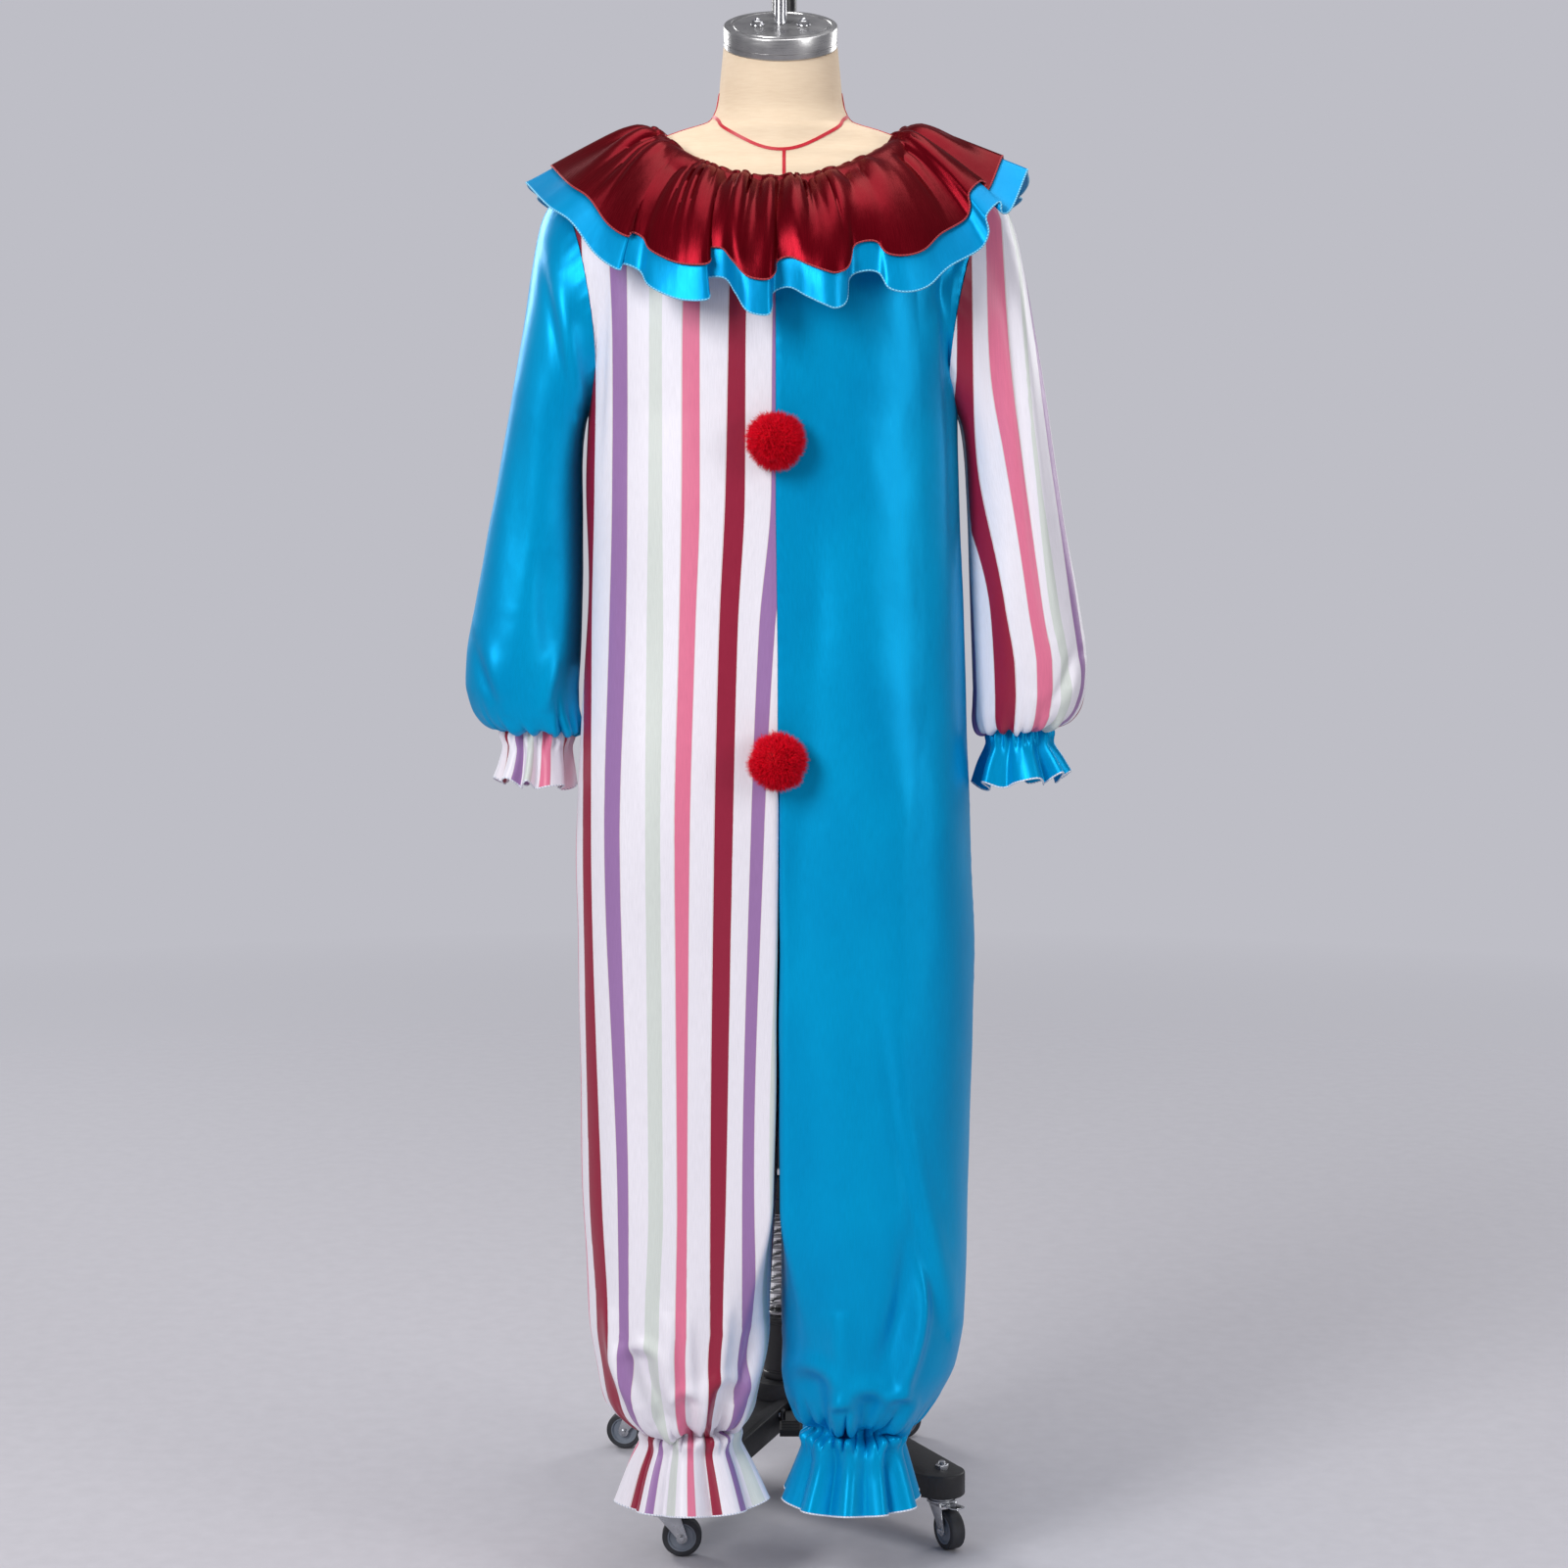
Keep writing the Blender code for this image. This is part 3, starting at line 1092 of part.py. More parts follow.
# ---- the whole ---------------------------------------------------------------------------------
def main():
    clear_scene()
    cloths = {
        "striped": finish("striped satin", (0.84, 0.80, 0.88), 0.35),
        "blue": finish("blue satin", (0.0, 0.35, 0.68), 0.35),
        "burgundy": finish("burgundy satin", (0.12, 0.004, 0.012), 0.3),
        "fur": finish("red fur", (0.6, 0.0, 0.02), 0.8),
        "linen": finish("linen", (0.83, 0.67, 0.50), 0.9),
    }
    metals = {
        "brushed": finish("brushed aluminium", (0.62, 0.61, 0.60), 0.35, 1.0),
        "chrome": finish("chrome", (0.75, 0.75, 0.76), 0.15, 1.0),
        "steel": finish("spring steel", (0.45, 0.45, 0.47), 0.35, 1.0),
        "zinc": finish("zinc plate", (0.6, 0.6, 0.62), 0.35, 1.0),
        "iron": finish("black cast iron", (0.02, 0.02, 0.022), 0.5),
        "black": finish("black paint", (0.015, 0.015, 0.017), 0.35),
        "rubber": finish("black rubber", (0.02, 0.02, 0.02), 0.8),
        "tyre": finish("grey tyre", (0.12, 0.12, 0.13), 0.7),
    }
    below = jumpsuit_panels(cloths)
    below.append(sleeve("sleeve_blue", STRIPED, SLEEVE_BLUE, cloths["blue"]))
    below.append(sleeve("sleeve_striped", BLUE, SLEEVE_STRIPED, cloths["striped"]))
    cuff("cuff_striped", STRIPED, CUFF_STRIPED, cloths["striped"])
    cuff("cuff_blue", BLUE, CUFF_BLUE, cloths["blue"])
    cloth = outside_of(below)
    collars(cloth, cloths["burgundy"], cloths["blue"])
    for name, z in POMPOMS:
        pompom(name, z, cloth, cloths["fur"])
    form_torso(cloths["linen"])
    neck_fittings(metals)
    base(metals)
    column(metals)
    lift = pivot("lift", (POST_X, POST_Y, SPRING_TOP))
    mast(metals, lift)
    hanger_rod(metals, lift)
    for obj in list(bpy.context.scene.collection.objects):
        if obj.location.y == FORM_Y and obj.parent is None:
            obj.parent = lift
            obj.matrix_parent_inverse = parent_world(lift).inverted()
    pedal(metals)
    casters(metals)


main()
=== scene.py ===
import math

import bmesh
import bpy
import numpy as np
from mathutils import Matrix, Vector
from mathutils.bvhtree import BVHTree


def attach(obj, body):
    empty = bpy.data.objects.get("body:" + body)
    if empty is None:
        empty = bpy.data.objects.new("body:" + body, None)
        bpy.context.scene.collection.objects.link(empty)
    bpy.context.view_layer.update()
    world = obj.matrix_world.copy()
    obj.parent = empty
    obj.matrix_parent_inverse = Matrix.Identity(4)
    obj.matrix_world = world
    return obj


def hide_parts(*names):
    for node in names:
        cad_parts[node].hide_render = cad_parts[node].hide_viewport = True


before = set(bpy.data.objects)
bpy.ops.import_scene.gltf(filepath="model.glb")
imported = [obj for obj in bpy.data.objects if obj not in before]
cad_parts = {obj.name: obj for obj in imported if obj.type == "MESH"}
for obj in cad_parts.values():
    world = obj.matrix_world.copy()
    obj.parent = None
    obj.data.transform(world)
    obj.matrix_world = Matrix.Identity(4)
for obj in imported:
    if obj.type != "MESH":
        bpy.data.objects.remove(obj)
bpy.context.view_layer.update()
scene = bpy.context.scene

# ---- sizes, as in the CAD ----------------------------------------------------------------------
FORM_Y, POST_X, POST_Y = -0.175, 0.004, 0.125
CLOTH, SEAM = 0.0012, 0.0003
STRIPED, BLUE, FRONT, BACK = -1, 1, -1, 1
UNDERARM_Z, LEGS_Z, SPLIT_Z, CROTCH_Z = 1.27, 1.07, 0.93, 0.79
NECK_HALF, SHOULDER_SLOPE, SHOULDER_END = 0.128, 0.355, 0.185
RIDGE_X, RIDGE_Z, SEAT_GAP = 0.066, 1.576, 0.0004
ARMHOLE_TOP = {STRIPED: (0.235, 1.497), BLUE: (0.228, 1.499)}
ARMHOLE_DEPTH, ARMHOLE_BOW = 0.075, 0.022
NECKLINE = {FRONT: (0.100, 1.507), BACK: (0.088, 1.538)}  # how deep and how low
NECKLINE_BEND, NECK_SHARE, NECK_SEAM_Z = 1.8, 0.6, 1.4
GATHER_Z, HEM_Z = 0.178, 0.096
ROUND_LEG_Z, ROUND_LEG_FADE = 0.44, 0.18  # below it the legs part, and get round over this height
CORNER = 0.007  # the round between a leg's inner wall and its front or back
TORSO_ROUND, LEG_ROUND, YOKE_ROUND = 0.8, 0.85, 0.78  # powers: below 1 is squarer than an ellipse
INNER_SHARE = 0.27  # of a panel's columns, for the leg's inner wall where there is one
SECTION_POINTS, SMOOTH_ANGLE, HARD_ANGLE = 181, 75, 50  # sharper edges stay sharp or get a bevel
HALF_NAME = {STRIPED: "striped", BLUE: "blue"}
FACE_NAME = {FRONT: "front", BACK: "back"}
TAU = 2 * math.pi
UP = np.array([0.0, 0.0, 1.0])


def numbers(text):
    """Rows of numbers from a text with a comma between the rows."""
    return [tuple(map(float, row.split())) for row in text.split(",")]


class Table:
    """Rows of sizes under named columns, keyed by the first, with a smooth curve through each."""

    def __init__(self, columns, text):
        columns = columns.split()
        self.of = dict(zip(columns, map(np.array, zip(*sorted(numbers(text))))))
        self.key = self.of[columns[0]]

    def at(self, name, where):
        x, y = self.key, self.of[name]
        step = np.diff(x)
        rise = np.diff(y) / step
        slope = np.concatenate([rise[:1], np.zeros(len(x) - 2), rise[-1:]])
        turn = rise[:-1] * rise[1:] > 0
        slope[1:-1][turn] = 2 * rise[:-1][turn] * rise[1:][turn] / (rise[:-1] + rise[1:])[turn]
        where = np.clip(np.asarray(where, float), x[0], x[-1])
        i = np.clip(np.searchsorted(x, where) - 1, 0, len(step) - 1)
        t = (where - x[i]) / step[i]
        return (
            y[i] * (1 + 2 * t) * (1 - t) ** 2
            + slope[i] * step[i] * t * (1 - t) ** 2
            + y[i + 1] * t**2 * (3 - 2 * t)
            + slope[i + 1] * step[i] * t**2 * (t - 1)
        )


BODY = Table("z striped_out blue_out striped_in blue_in front back seam_x", """
    1.4 .19 .19 0 0 .124 .112 -.006, 1.27 .197 .189 0 0 .13 .118 -.005, 1.19 .2 .191 0 0 .132 .116 -.005,
    1.1 .198 .195 0 0 .131 .114 -.004, 1.01 .203 .198 0 0 .13 .117 -.003, .93 .208 .201 0 0 .128 .121 -.003,
    .85 .213 .204 0 0 .124 .121 -.002, .79 .215 .206 .0002 .0002 .119 .118 -.002,
    .7 .215 .209 .0014 .0004 .112 .112 -.001, .61 .214 .207 .0014 .0006 .107 .107 -.001,
    .46 .213 .203 .004 .0008 .102 .102 -.001, .36 .208 .201 .0095 .001 .1 .1 -.001,
    .3 .2055 .198 .013 .001 .098 .098 -.001, .253 .1985 .19 .0175 .0025 .094 .094 -.001,
    .222 .193 .174 .023 .008 .088 .088 -.001, .205 .186 .162 .028 .014 .081 .081 -.001,
    .19 .168 .149 .039 .0215 .069 .069 -.001, .178 .139 .129 .0545 .0335 .046 .046 -.001,
    .166 .144 .131 .05 .031 .05 .05 -.001, .135 .159 .138 .035 .021 .06 .06 -.001,
    .096 .172 .147 .02 .008 .072 .072 -.001
""")
RING = "along outer_x outer_z inner_x inner_z depth"
TUBES = {
    "sleeve_blue": Table(RING, """
        0 .235 1.497 .202 1.27 .075, .06 .252 1.464 .2068 1.262 .073, .14 .263 1.41 .2078 1.247 .07,
        .24 .274 1.34 .208 1.22 .066, .36 .289 1.255 .2082 1.175 .064, .49 .305 1.16 .2085 1.118 .064,
        .62 .321 1.075 .21 1.06 .065, .73 .333 1.015 .2125 1.01 .065, .82 .335 .983 .2145 .974 .063,
        .89 .328 .957 .2145 .947 .057, .95 .312 .941 .215 .933 .047, 1 .296 .938 .2225 .936 .035
    """),
    "sleeve_striped": Table(RING, """
        0 .228 1.499 .184 1.27 .075, .06 .244 1.466 .1895 1.262 .073, .14 .257 1.41 .1925 1.247 .07,
        .24 .27 1.34 .1945 1.22 .066, .36 .285 1.255 .1965 1.175 .064, .49 .299 1.16 .1985 1.118 .063,
        .62 .3145 1.075 .201 1.06 .064, .73 .3235 1.015 .203 1.01 .064, .82 .3245 .985 .2045 .974 .062,
        .89 .319 .96 .207 .948 .055, .95 .304 .944 .214 .934 .044, 1 .2855 .94 .222 .938 .031
    """),
    "cuff_striped": Table(RING, """
        0 .2952 .9376 .2233 .9356 .0342, .3 .2945 .917 .225 .915 .034, .7 .298 .895 .224 .89 .0375,
        1 .3025 .88 .2235 .872 .0415
    """),
    "cuff_blue": Table(RING, """
        0 .2847 .9396 .2228 .9376 .0302, .3 .287 .92 .221 .916 .033, .7 .296 .9 .215 .893 .04,
        1 .3035 .884 .211 .873 .045
    """),
}
COLLAR = Table("turn top_long under_long start end", """
    0 .128 .16 18 82, 22 .128 .16 8 78, 45 .126 .158 -20 64, 65 .123 .155 -40 42, 90 .122 .154 -50 27,
    135 .122 .152 -24 60, 180 .12 .15 0 82
""")
# The blue ruffle's hem round the front, from one shoulder to the other: x, z and how far forward
# it stands, in metres. Low, forward points are the folds' lobes.
HEM = numbers("""
    -.264 1.507 0, -.237 1.481 .002, -.212 1.464 -.003, -.186 1.431 .006, -.162 1.415 .01,
    -.157 1.421 -.002, -.141 1.414 -.009, -.131 1.399 .004, -.102 1.386 .011, -.074 1.385 .011,
    -.07 1.392 .004, -.076 1.406 -.008, -.056 1.407 -.01, -.045 1.392 0, -.033 1.374 .009, -.013 1.37 .011,
    -.008 1.379 .004, -.008 1.392 -.008, .008 1.398 -.009, .026 1.389 0, .043 1.381 .008, .055 1.377 .01,
    .066 1.384 .004, .069 1.407 -.008, .083 1.414 -.01, .098 1.412 -.008, .108 1.397 .003, .127 1.393 .01,
    .148 1.399 .006, .169 1.418 -.003, .201 1.436 -.006, .21 1.452 .002, .208 1.47 -.008, .223 1.485 -.01,
    .225 1.473 .004, .236 1.479 .008, .254 1.519 0
""")
FORM = Table("z half deep y lean power", """
    .868 .134 .09 0 0 2.2, .885 .148 .1 0 0 2.2, .96 .16 .108 0 0 2.2, 1.04 .15 .1 0 0 2.2,
    1.13 .127 .086 0 0 2.2, 1.22 .143 .096 0 0 2.3, 1.31 .16 .106 0 0 2.3, 1.39 .168 .103 0 0 2.3,
    1.45 .172 .095 0 0 2.2, 1.495 .175 .085 0 0 2, 1.522 .177 .076 0 0 1.7, 1.537 .1758 .069 0 0 1.45,
    1.548 .145 .065 0 0 1.4, 1.5622 .105 .062 0 0 1.6, 1.5735 .073 .061 .002 2 1.9,
    1.592 .0655 .06 .005 6 2, 1.62 .0625 .0585 .002 13 2, 1.65 .0595 .0575 -.0015 19.5 2
""")

# ---- folds -------------------------------------------------------------------------------------
# Each fold is listed by piece and side: its kind, half width, height above the cloth (a
# trough below 0) and the points, x and z, that it runs through, in metres.
FOLDS = {
    ("front_blue", FRONT): """
        soft .016 -.005 .0366 1.15 .0371 1.07 .033 .99, soft .019 -.0055 .032 1.01 .02 .86 .015 .68,
        soft .03 .0045 .09 1.3 .085 1.02 .078 .74,
        crease .0055 .0045 .166 1.47 .171 1.36 .177 1.25 .18 1.12,
        crease .006 .0045 .203 1.42 .185 1.375 .176 1.3, soft .007 -.004 .198 1.45 .176 1.42 .156 1.37,
        soft .018 -.004 .145 1.15 .15 .94 .14 .7, crease .0085 .0055 .108 .64 .13 .5 .156 .385 .176 .3,
        soft .0085 .0085 .152 .368 .145 .3 .124 .222, soft .012 -.007 .135 .42 .127 .33 .108 .262,
        bowl .015 .008 .033 .238 .037 .215 .046 .184, bowl .016 .0085 .093 .216 .093 .2 .09 .182,
        bowl .008 .005 .065 .214 .066 .2 .068 .184, bowl .009 .006 .125 .222 .119 .206 .113 .186,
        soft .014 .0045 .062 .33 .063 .285 .064 .24, soft .024 .0035 .05 .7 .06 .52 .056 .35
    """,
    ("front_striped", FRONT): """
        soft .03 .0035 -.085 1.32 -.083 1 -.085 .7, soft .016 -.003 -.03 1.1 -.028 .9 -.024 .72,
        crease .006 .004 -.176 1.44 -.178 1.35 -.184 1.22, soft .016 -.0035 -.152 .9 -.156 .7 -.15 .46,
        bowl .012 .008 -.148 .268 -.143 .246 -.125 .206, bowl .0105 .006 -.099 .222 -.098 .204 -.097 .184,
        bowl .011 .006 -.06 .232 -.065 .21 -.072 .186, soft .01 .006 -.116 .33 -.117 .28 -.112 .225,
        soft .0085 .0055 -.181 .33 -.174 .275 -.152 .222, soft .009 -.0045 -.165 .3 -.15 .252 -.133 .22,
        soft .008 .0045 -.056 .34 -.062 .28 -.07 .222, crease .006 .0045 -.026 .31 -.033 .262 -.048 .226,
        soft .007 .0045 -.099 .33 -.097 .28 -.093 .22
    """,
    ("back_striped", BACK): """
        soft .026 .005 -.07 1.33 -.078 1.08 -.074 .82, soft .018 -.0055 -.13 1.24 -.138 1.02 -.144 .82,
        crease .0075 .005 -.196 1.38 -.164 1.3 -.156 1.18, soft .019 -.006 -.14 .66 -.126 .48 -.129 .33,
        soft .011 .0065 -.076 .4 -.086 .3 -.09 .225, crease .007 .0055 -.174 .34 -.156 .27 -.136 .228,
        crease .007 .0055 -.03 .32 -.042 .262 -.062 .226, bowl .015 .008 -.118 .24 -.114 .215 -.108 .184,
        bowl .011 .0065 -.064 .222 -.068 .204 -.072 .184
    """,
    ("back_blue", BACK): """
        soft .026 .0045 .064 1.3 .06 1.08 .056 .86, soft .018 -.0055 .118 1.25 .124 1.06 .132 .86,
        crease .008 .005 .196 1.39 .164 1.31 .152 1.2, soft .02 -.0065 .118 .7 .13 .52 .133 .34,
        soft .011 .0065 .066 .39 .064 .3 .072 .225, crease .007 .006 .164 .33 .142 .266 .126 .226,
        crease .007 .006 .018 .33 .026 .262 .044 .226, bowl .015 .008 .1 .236 .098 .214 .094 .184,
        bowl .011 .0065 .05 .222 .054 .204 .058 .184
    """,
    ("sleeve_blue", FRONT): """
        soft .013 -.005 -.242 1.13 -.243 1.07 -.238 1.01, soft .015 .005 -.218 1.41 -.214 1.35 -.22 1.27,
        crease .007 .0045 -.248 1.44 -.23 1.36 -.216 1.27, soft .016 -.004 -.272 1.27 -.276 1.16 -.286 1.06,
        crease .008 .005 -.32 1.03 -.306 .99 -.293 .965, soft .008 .005 -.233 1.02 -.242 .985 -.25 .955
    """,
    ("sleeve_blue", BACK): """
        soft .014 -.005 -.246 1.26 -.256 1.14 -.26 1.04, crease .008 .005 -.238 1.4 -.226 1.32 -.226 1.23,
        soft .01 .005 -.29 1.06 -.283 1 -.276 .96
    """,
    ("sleeve_striped", FRONT): """
        crease .006 .005 .236 1.44 .244 1.35 .256 1.24 .27 1.12 .284 1.04,
        soft .012 -.004 .215 1.38 .22 1.28 .228 1.17, soft .014 .004 .232 1.13 .238 1.06 .248 .99,
        crease .007 .0045 .312 1.02 .3 .985 .286 .962
    """,
    ("sleeve_striped", BACK): """
        soft .014 -.005 .236 1.27 .246 1.15 .256 1.05, crease .008 .005 .232 1.4 .22 1.32 .22 1.23,
        soft .01 .005 .28 1.06 .276 1 .268 .96
    """,
}
# Short folds that the gathers at the ankles and wrists throw: share of the way across, reach from
# the gather, half width as a share and height.
FEED = {
    "front_striped": """
        .09 .052 .02 .0035, .19 .085 .024 .005, .3 .045 .017 .0035, .39 .11 .026 .005, .5 .06 .02 .004,
        .6 .075 .022 .0045, .7 .048 .018 .0035, .79 .095 .026 .005, .9 .06 .02 .004
    """,
    "front_blue": """
        .08 .075 .024 .005, .17 .045 .018 .0035, .27 .06 .022 .005, .37 .09 .024 .005, .47 .05 .018 .004,
        .56 .042 .02 .005, .66 .1 .026 .0045, .76 .055 .02 .0045, .88 .08 .024 .0045
    """,
    "back_striped": """
        .1 .07 .022 .0045, .21 .05 .018 .0035, .31 .095 .026 .005, .44 .055 .02 .004, .55 .08 .024 .0045,
        .65 .045 .018 .0035, .76 .09 .026 .005, .89 .055 .02 .004
    """,
    "back_blue": """
        .09 .06 .02 .004, .2 .09 .026 .005, .33 .05 .018 .004, .43 .075 .024 .0045, .54 .048 .018 .0035,
        .64 .1 .026 .005, .77 .055 .02 .004, .88 .08 .024 .0045
    """,
    "sleeve_blue": """
        .03 .05 .016 .0035, .1 .034 .014 .003, .17 .06 .018 .004, .24 .036 .014 .003, .31 .07 .018 .004,
        .38 .04 .015 .0032, .46 .055 .016 .0038, .54 .034 .014 .003, .62 .065 .018 .004, .7 .04 .015 .0032,
        .78 .058 .017 .0038, .86 .036 .014 .003, .94 .05 .016 .0035
    """,
    "sleeve_striped": """
        .02 .038 .014 .003, .09 .056 .017 .0038, .16 .036 .014 .003, .22 .064 .018 .004, .29 .04 .015 .0032,
        .36 .058 .016 .0038, .44 .036 .014 .003, .52 .06 .017 .0038, .6 .038 .014 .003, .68 .066 .018 .004,
        .77 .04 .015 .0032, .85 .056 .016 .0036, .93 .036 .014 .003
    """,
}


# ---- shapes ------------------------------------------------------------------------------------
def unit(vectors):
    return vectors / np.maximum(np.linalg.norm(vectors, axis=-1, keepdims=True), 1e-12)


def power(value, exponent):
    return np.sign(value) * np.abs(value) ** exponent


def share(value):
    return np.clip(value, 0, 1)


def eased(value):
    """From 0 to 1 with a soft start and end."""
    value = share(value)
    return value**2 * (3 - 2 * value)


def hump(value, middle, half):
    """A smooth rise to 1 around the middle."""
    return np.exp(-(((value - middle) / half) ** 2))


def around(count):
    """Angles once round, without the last."""
    return np.linspace(0, TAU, count + 1)[:-1]


def walked(points, axis=0):
    """The way from the start of a line, or of a grid's lines, to each point."""
    steps = np.linalg.norm(np.diff(points, axis=axis), axis=-1)
    return np.insert(np.cumsum(steps, axis), 0, 0, axis)


def rejoined(grid):
    """A ring's grid with its first column again at the end."""
    return np.concatenate([grid, grid[:, :1]], 1)


def heading(points, closed, axis=0):
    """The way along a line, or a grid's lines, at each point."""
    if closed:
        return np.roll(points, -1, axis) - np.roll(points, 1, axis)
    return np.gradient(points, axis=axis)


def spaced(points, shares, whole=None):
    """Points at shares of a line's length, or at distances along it when whole is 1."""
    length = walked(points)
    length /= whole or length[-1]
    return np.stack([np.interp(shares, length, column) for column in points.T], 1)


def curve_through(points, count):
    """A smooth line through some points."""
    points = np.asarray(points, float)
    padded = np.concatenate([[2 * points[0] - points[1]], points, [2 * points[-1] - points[-2]]])
    where = np.linspace(0, len(points) - 1, count)
    i = np.clip(where.astype(int), 0, len(points) - 2)
    t = (where - i)[:, None]
    a, b, c, d = (padded[i + k] for k in range(4))
    square, cube = 2 * a - 5 * b + 4 * c - d, 3 * b - a - 3 * c + d
    return 0.5 * (2 * b + (c - a) * t + square * t**2 + cube * t**3)


def ripple(points, wave, seed):
    """An uneven, smooth field from about -1 to 1."""
    rng = np.random.default_rng(seed)
    total = np.zeros(points.shape[:-1])
    for _ in range(8):
        way = unit(rng.normal(size=points.shape[-1]))
        total += np.sin(points @ way * (TAU / (wave * rng.uniform(0.65, 1.5))) + rng.uniform(0, 6.28))
    return total / 4.5


def off_line(x, z, path):
    """Signed distance from a line through points, and the share of the way along it."""
    line = curve_through(path, 4 * len(path))
    steps = walked(line)
    best, signed, along = np.full(x.shape, 9.0), np.zeros(x.shape), np.zeros(x.shape)
    for (ax, az), (bx, bz), start, end in zip(line, line[1:], steps, steps[1:]):
        dx, dz = bx - ax, bz - az
        t = share(((x - ax) * dx + (z - az) * dz) / (dx * dx + dz * dz))
        far_x, far_z = x - ax - t * dx, z - az - t * dz
        distance = np.hypot(far_x, far_z)
        nearer = distance < best
        best = np.where(nearer, distance, best)
        signed = np.where(nearer, distance * np.sign(dx * far_z - dz * far_x), signed)
        along = np.where(nearer, start + t * (end - start), along)
    return signed, along / steps[-1]


def gathered(phase, narrow=1.5):
    """A gather's waves: broad round crests between narrow troughs, from -1 to 1."""
    return 1 - 2 * (1 - np.abs(np.sin(math.pi * phase))) ** narrow


def fold_shape(kind, away, half):
    """How high a fold stands at a signed distance from its line."""
    if kind == "bowl":  # a hollow between two round arches
        far = np.abs(away) / half
        return 0.46 * hump(far, 1.70, 0.78) - 0.80 * hump(far, 0, 1.10)
    if kind == "soft":
        return hump(away, 0, half)
    return 0.85 * hump(away, 1.15 * half, 1.35 * half) - 0.75 * hump(away, -0.55 * half, 0.75 * half)


def fold_push(name, points):
    """How far the listed folds of a piece stand out at each point."""
    push = np.zeros(points.shape[:-1])
    x, y, z = points[..., 0], points[..., 1], points[..., 2]
    on_sleeve = name.startswith("sleeve")
    strong = 1.0 if on_sleeve else 0.65 + 0.85 * share((ROUND_LEG_Z - z) / 0.12)
    for (piece, face), text in FOLDS.items():
        if piece != name:
            continue
        shown = share(y * face / 0.012) if on_sleeve else 1.0
        for row in text.split(","):
            kind, half, height, *path = row.split()
            half, height, path = float(half), float(height), np.array(path, float).reshape(-1, 2)
            away, along = off_line(x, z, path)
            ends = 1.0 if kind == "bowl" else share(np.sin(np.clip(along, 0.02, 0.98) * math.pi)) ** 0.55
            push += strong * height * ends * fold_shape(kind, away, half) * shown
    return push


def feed_push(name, across, reach, round_):
    """Short folds from a gather; across runs from 0 to 1 and reach is the distance from it."""
    push = np.zeros(across.shape)
    for i, (middle, long, half, height) in enumerate(numbers(FEED[name])):
        lean = 0.12 * math.sin(2.3 * i + 1.0) * reach / max(long, 0.01) * half * 4
        away = across - middle - lean
        if round_:
            away = (away + 0.5) % 1.0 - 0.5
        wide = half * (1 + 0.9 * np.clip(reach / long, 0, 1.5))
        fade = share(1 - reach / long) ** 1.2 * share(reach / 0.006 + 0.25)
        push += height * hump(away, 0, wide) * fade
    return push


def creased(name, grid, hold, ease, unevenness, seeds):
    """The folds of a piece and its soft unevenness, which fade towards the piece's edges."""
    push = fold_push(name, grid) * hold * ease
    for (height, squeeze, wave), seed in zip(unevenness, seeds):
        push += height * ripple(grid * np.array([1, 1, squeeze]), wave, seed) * hold * ease
    return push


def section(side, face, shares, z):
    """A level line of one panel, from its inner seam to its outer one. Below the split the two
    legs' inner walls stand flat against each other, and part towards the ankles."""
    half = HALF_NAME[side]
    out, inner = BODY.at(half + "_out", z), BODY.at(half + "_in", z)
    deep = BODY.at(FACE_NAME[face], z)
    dense = np.linspace(0.0, 1.0, SECTION_POINTS)
    quarter = dense * math.pi / 2
    torso = np.stack([out * np.sin(quarter) ** TORSO_ROUND, deep * np.cos(quarter) ** TORSO_ROUND], 1)
    middle, reach = (inner + out) / 2, (out - inner) / 2
    flat = [middle + reach * np.sin(quarter) ** LEG_ROUND, deep * np.cos(quarter) ** LEG_ROUND]
    flat = np.concatenate([[[inner, deep]], np.stack(flat, 1)])
    parted = eased((LEGS_Z - z) / (LEGS_Z - CROTCH_Z))
    line = (1 - parted) * spaced(torso, dense) + parted * spaced(flat, dense)
    fall = share((SPLIT_Z - z) / (SPLIT_Z - CROTCH_Z))
    wall = deep * (1 - math.sqrt(1 - fall**2))
    turned_in = min(CORNER, 0.8 * wall)
    if wall > 1e-4:
        start, arc = line[0, 0], np.linspace(0, math.pi / 2, 9)
        corner = [start + turned_in * (1 - np.cos(arc)), deep - turned_in * (1 - np.sin(arc))]
        past = line[line[:, 0] > start + turned_in * 1.05]
        line = np.concatenate([[[start, deep - wall]], np.stack(corner, 1), past])
    wall_share = min(wall / np.linalg.norm(np.diff(line, axis=0), axis=1).sum(), 0.9)
    packed = INNER_SHARE * (1 - parted) * (1 - wall_share) + wall_share
    line = spaced(line, np.interp(shares, [0, INNER_SHARE, 1], [0, packed, 1]))
    turn = dense * math.pi
    round_leg = [middle - reach * power(np.cos(turn), LEG_ROUND), deep * np.sin(turn) ** LEG_ROUND]
    rounder = eased((ROUND_LEG_Z - z) / ROUND_LEG_FADE)
    line = (1 - rounder) * line + rounder * spaced(np.stack(round_leg, 1), shares)
    x = BODY.at("seam_x", z) + side * (line[:, 0] + SEAM / 2)
    return np.stack([x, face * (line[:, 1] + SEAM / 2), np.full(len(x), z)], 1)


def ridge_z(x):
    """The height of the shoulders' cloth."""
    lift = (CLOTH + SEAT_GAP) * math.hypot(1, SHOULDER_SLOPE)
    return RIDGE_Z - SHOULDER_SLOPE * (x - RIDGE_X) + lift


def neckline(face, turn):
    deep, low = NECKLINE[face]
    high = ridge_z(NECK_HALF)
    return np.sin(turn), deep * np.cos(turn), high - (high - low) * np.cos(turn) ** NECKLINE_BEND


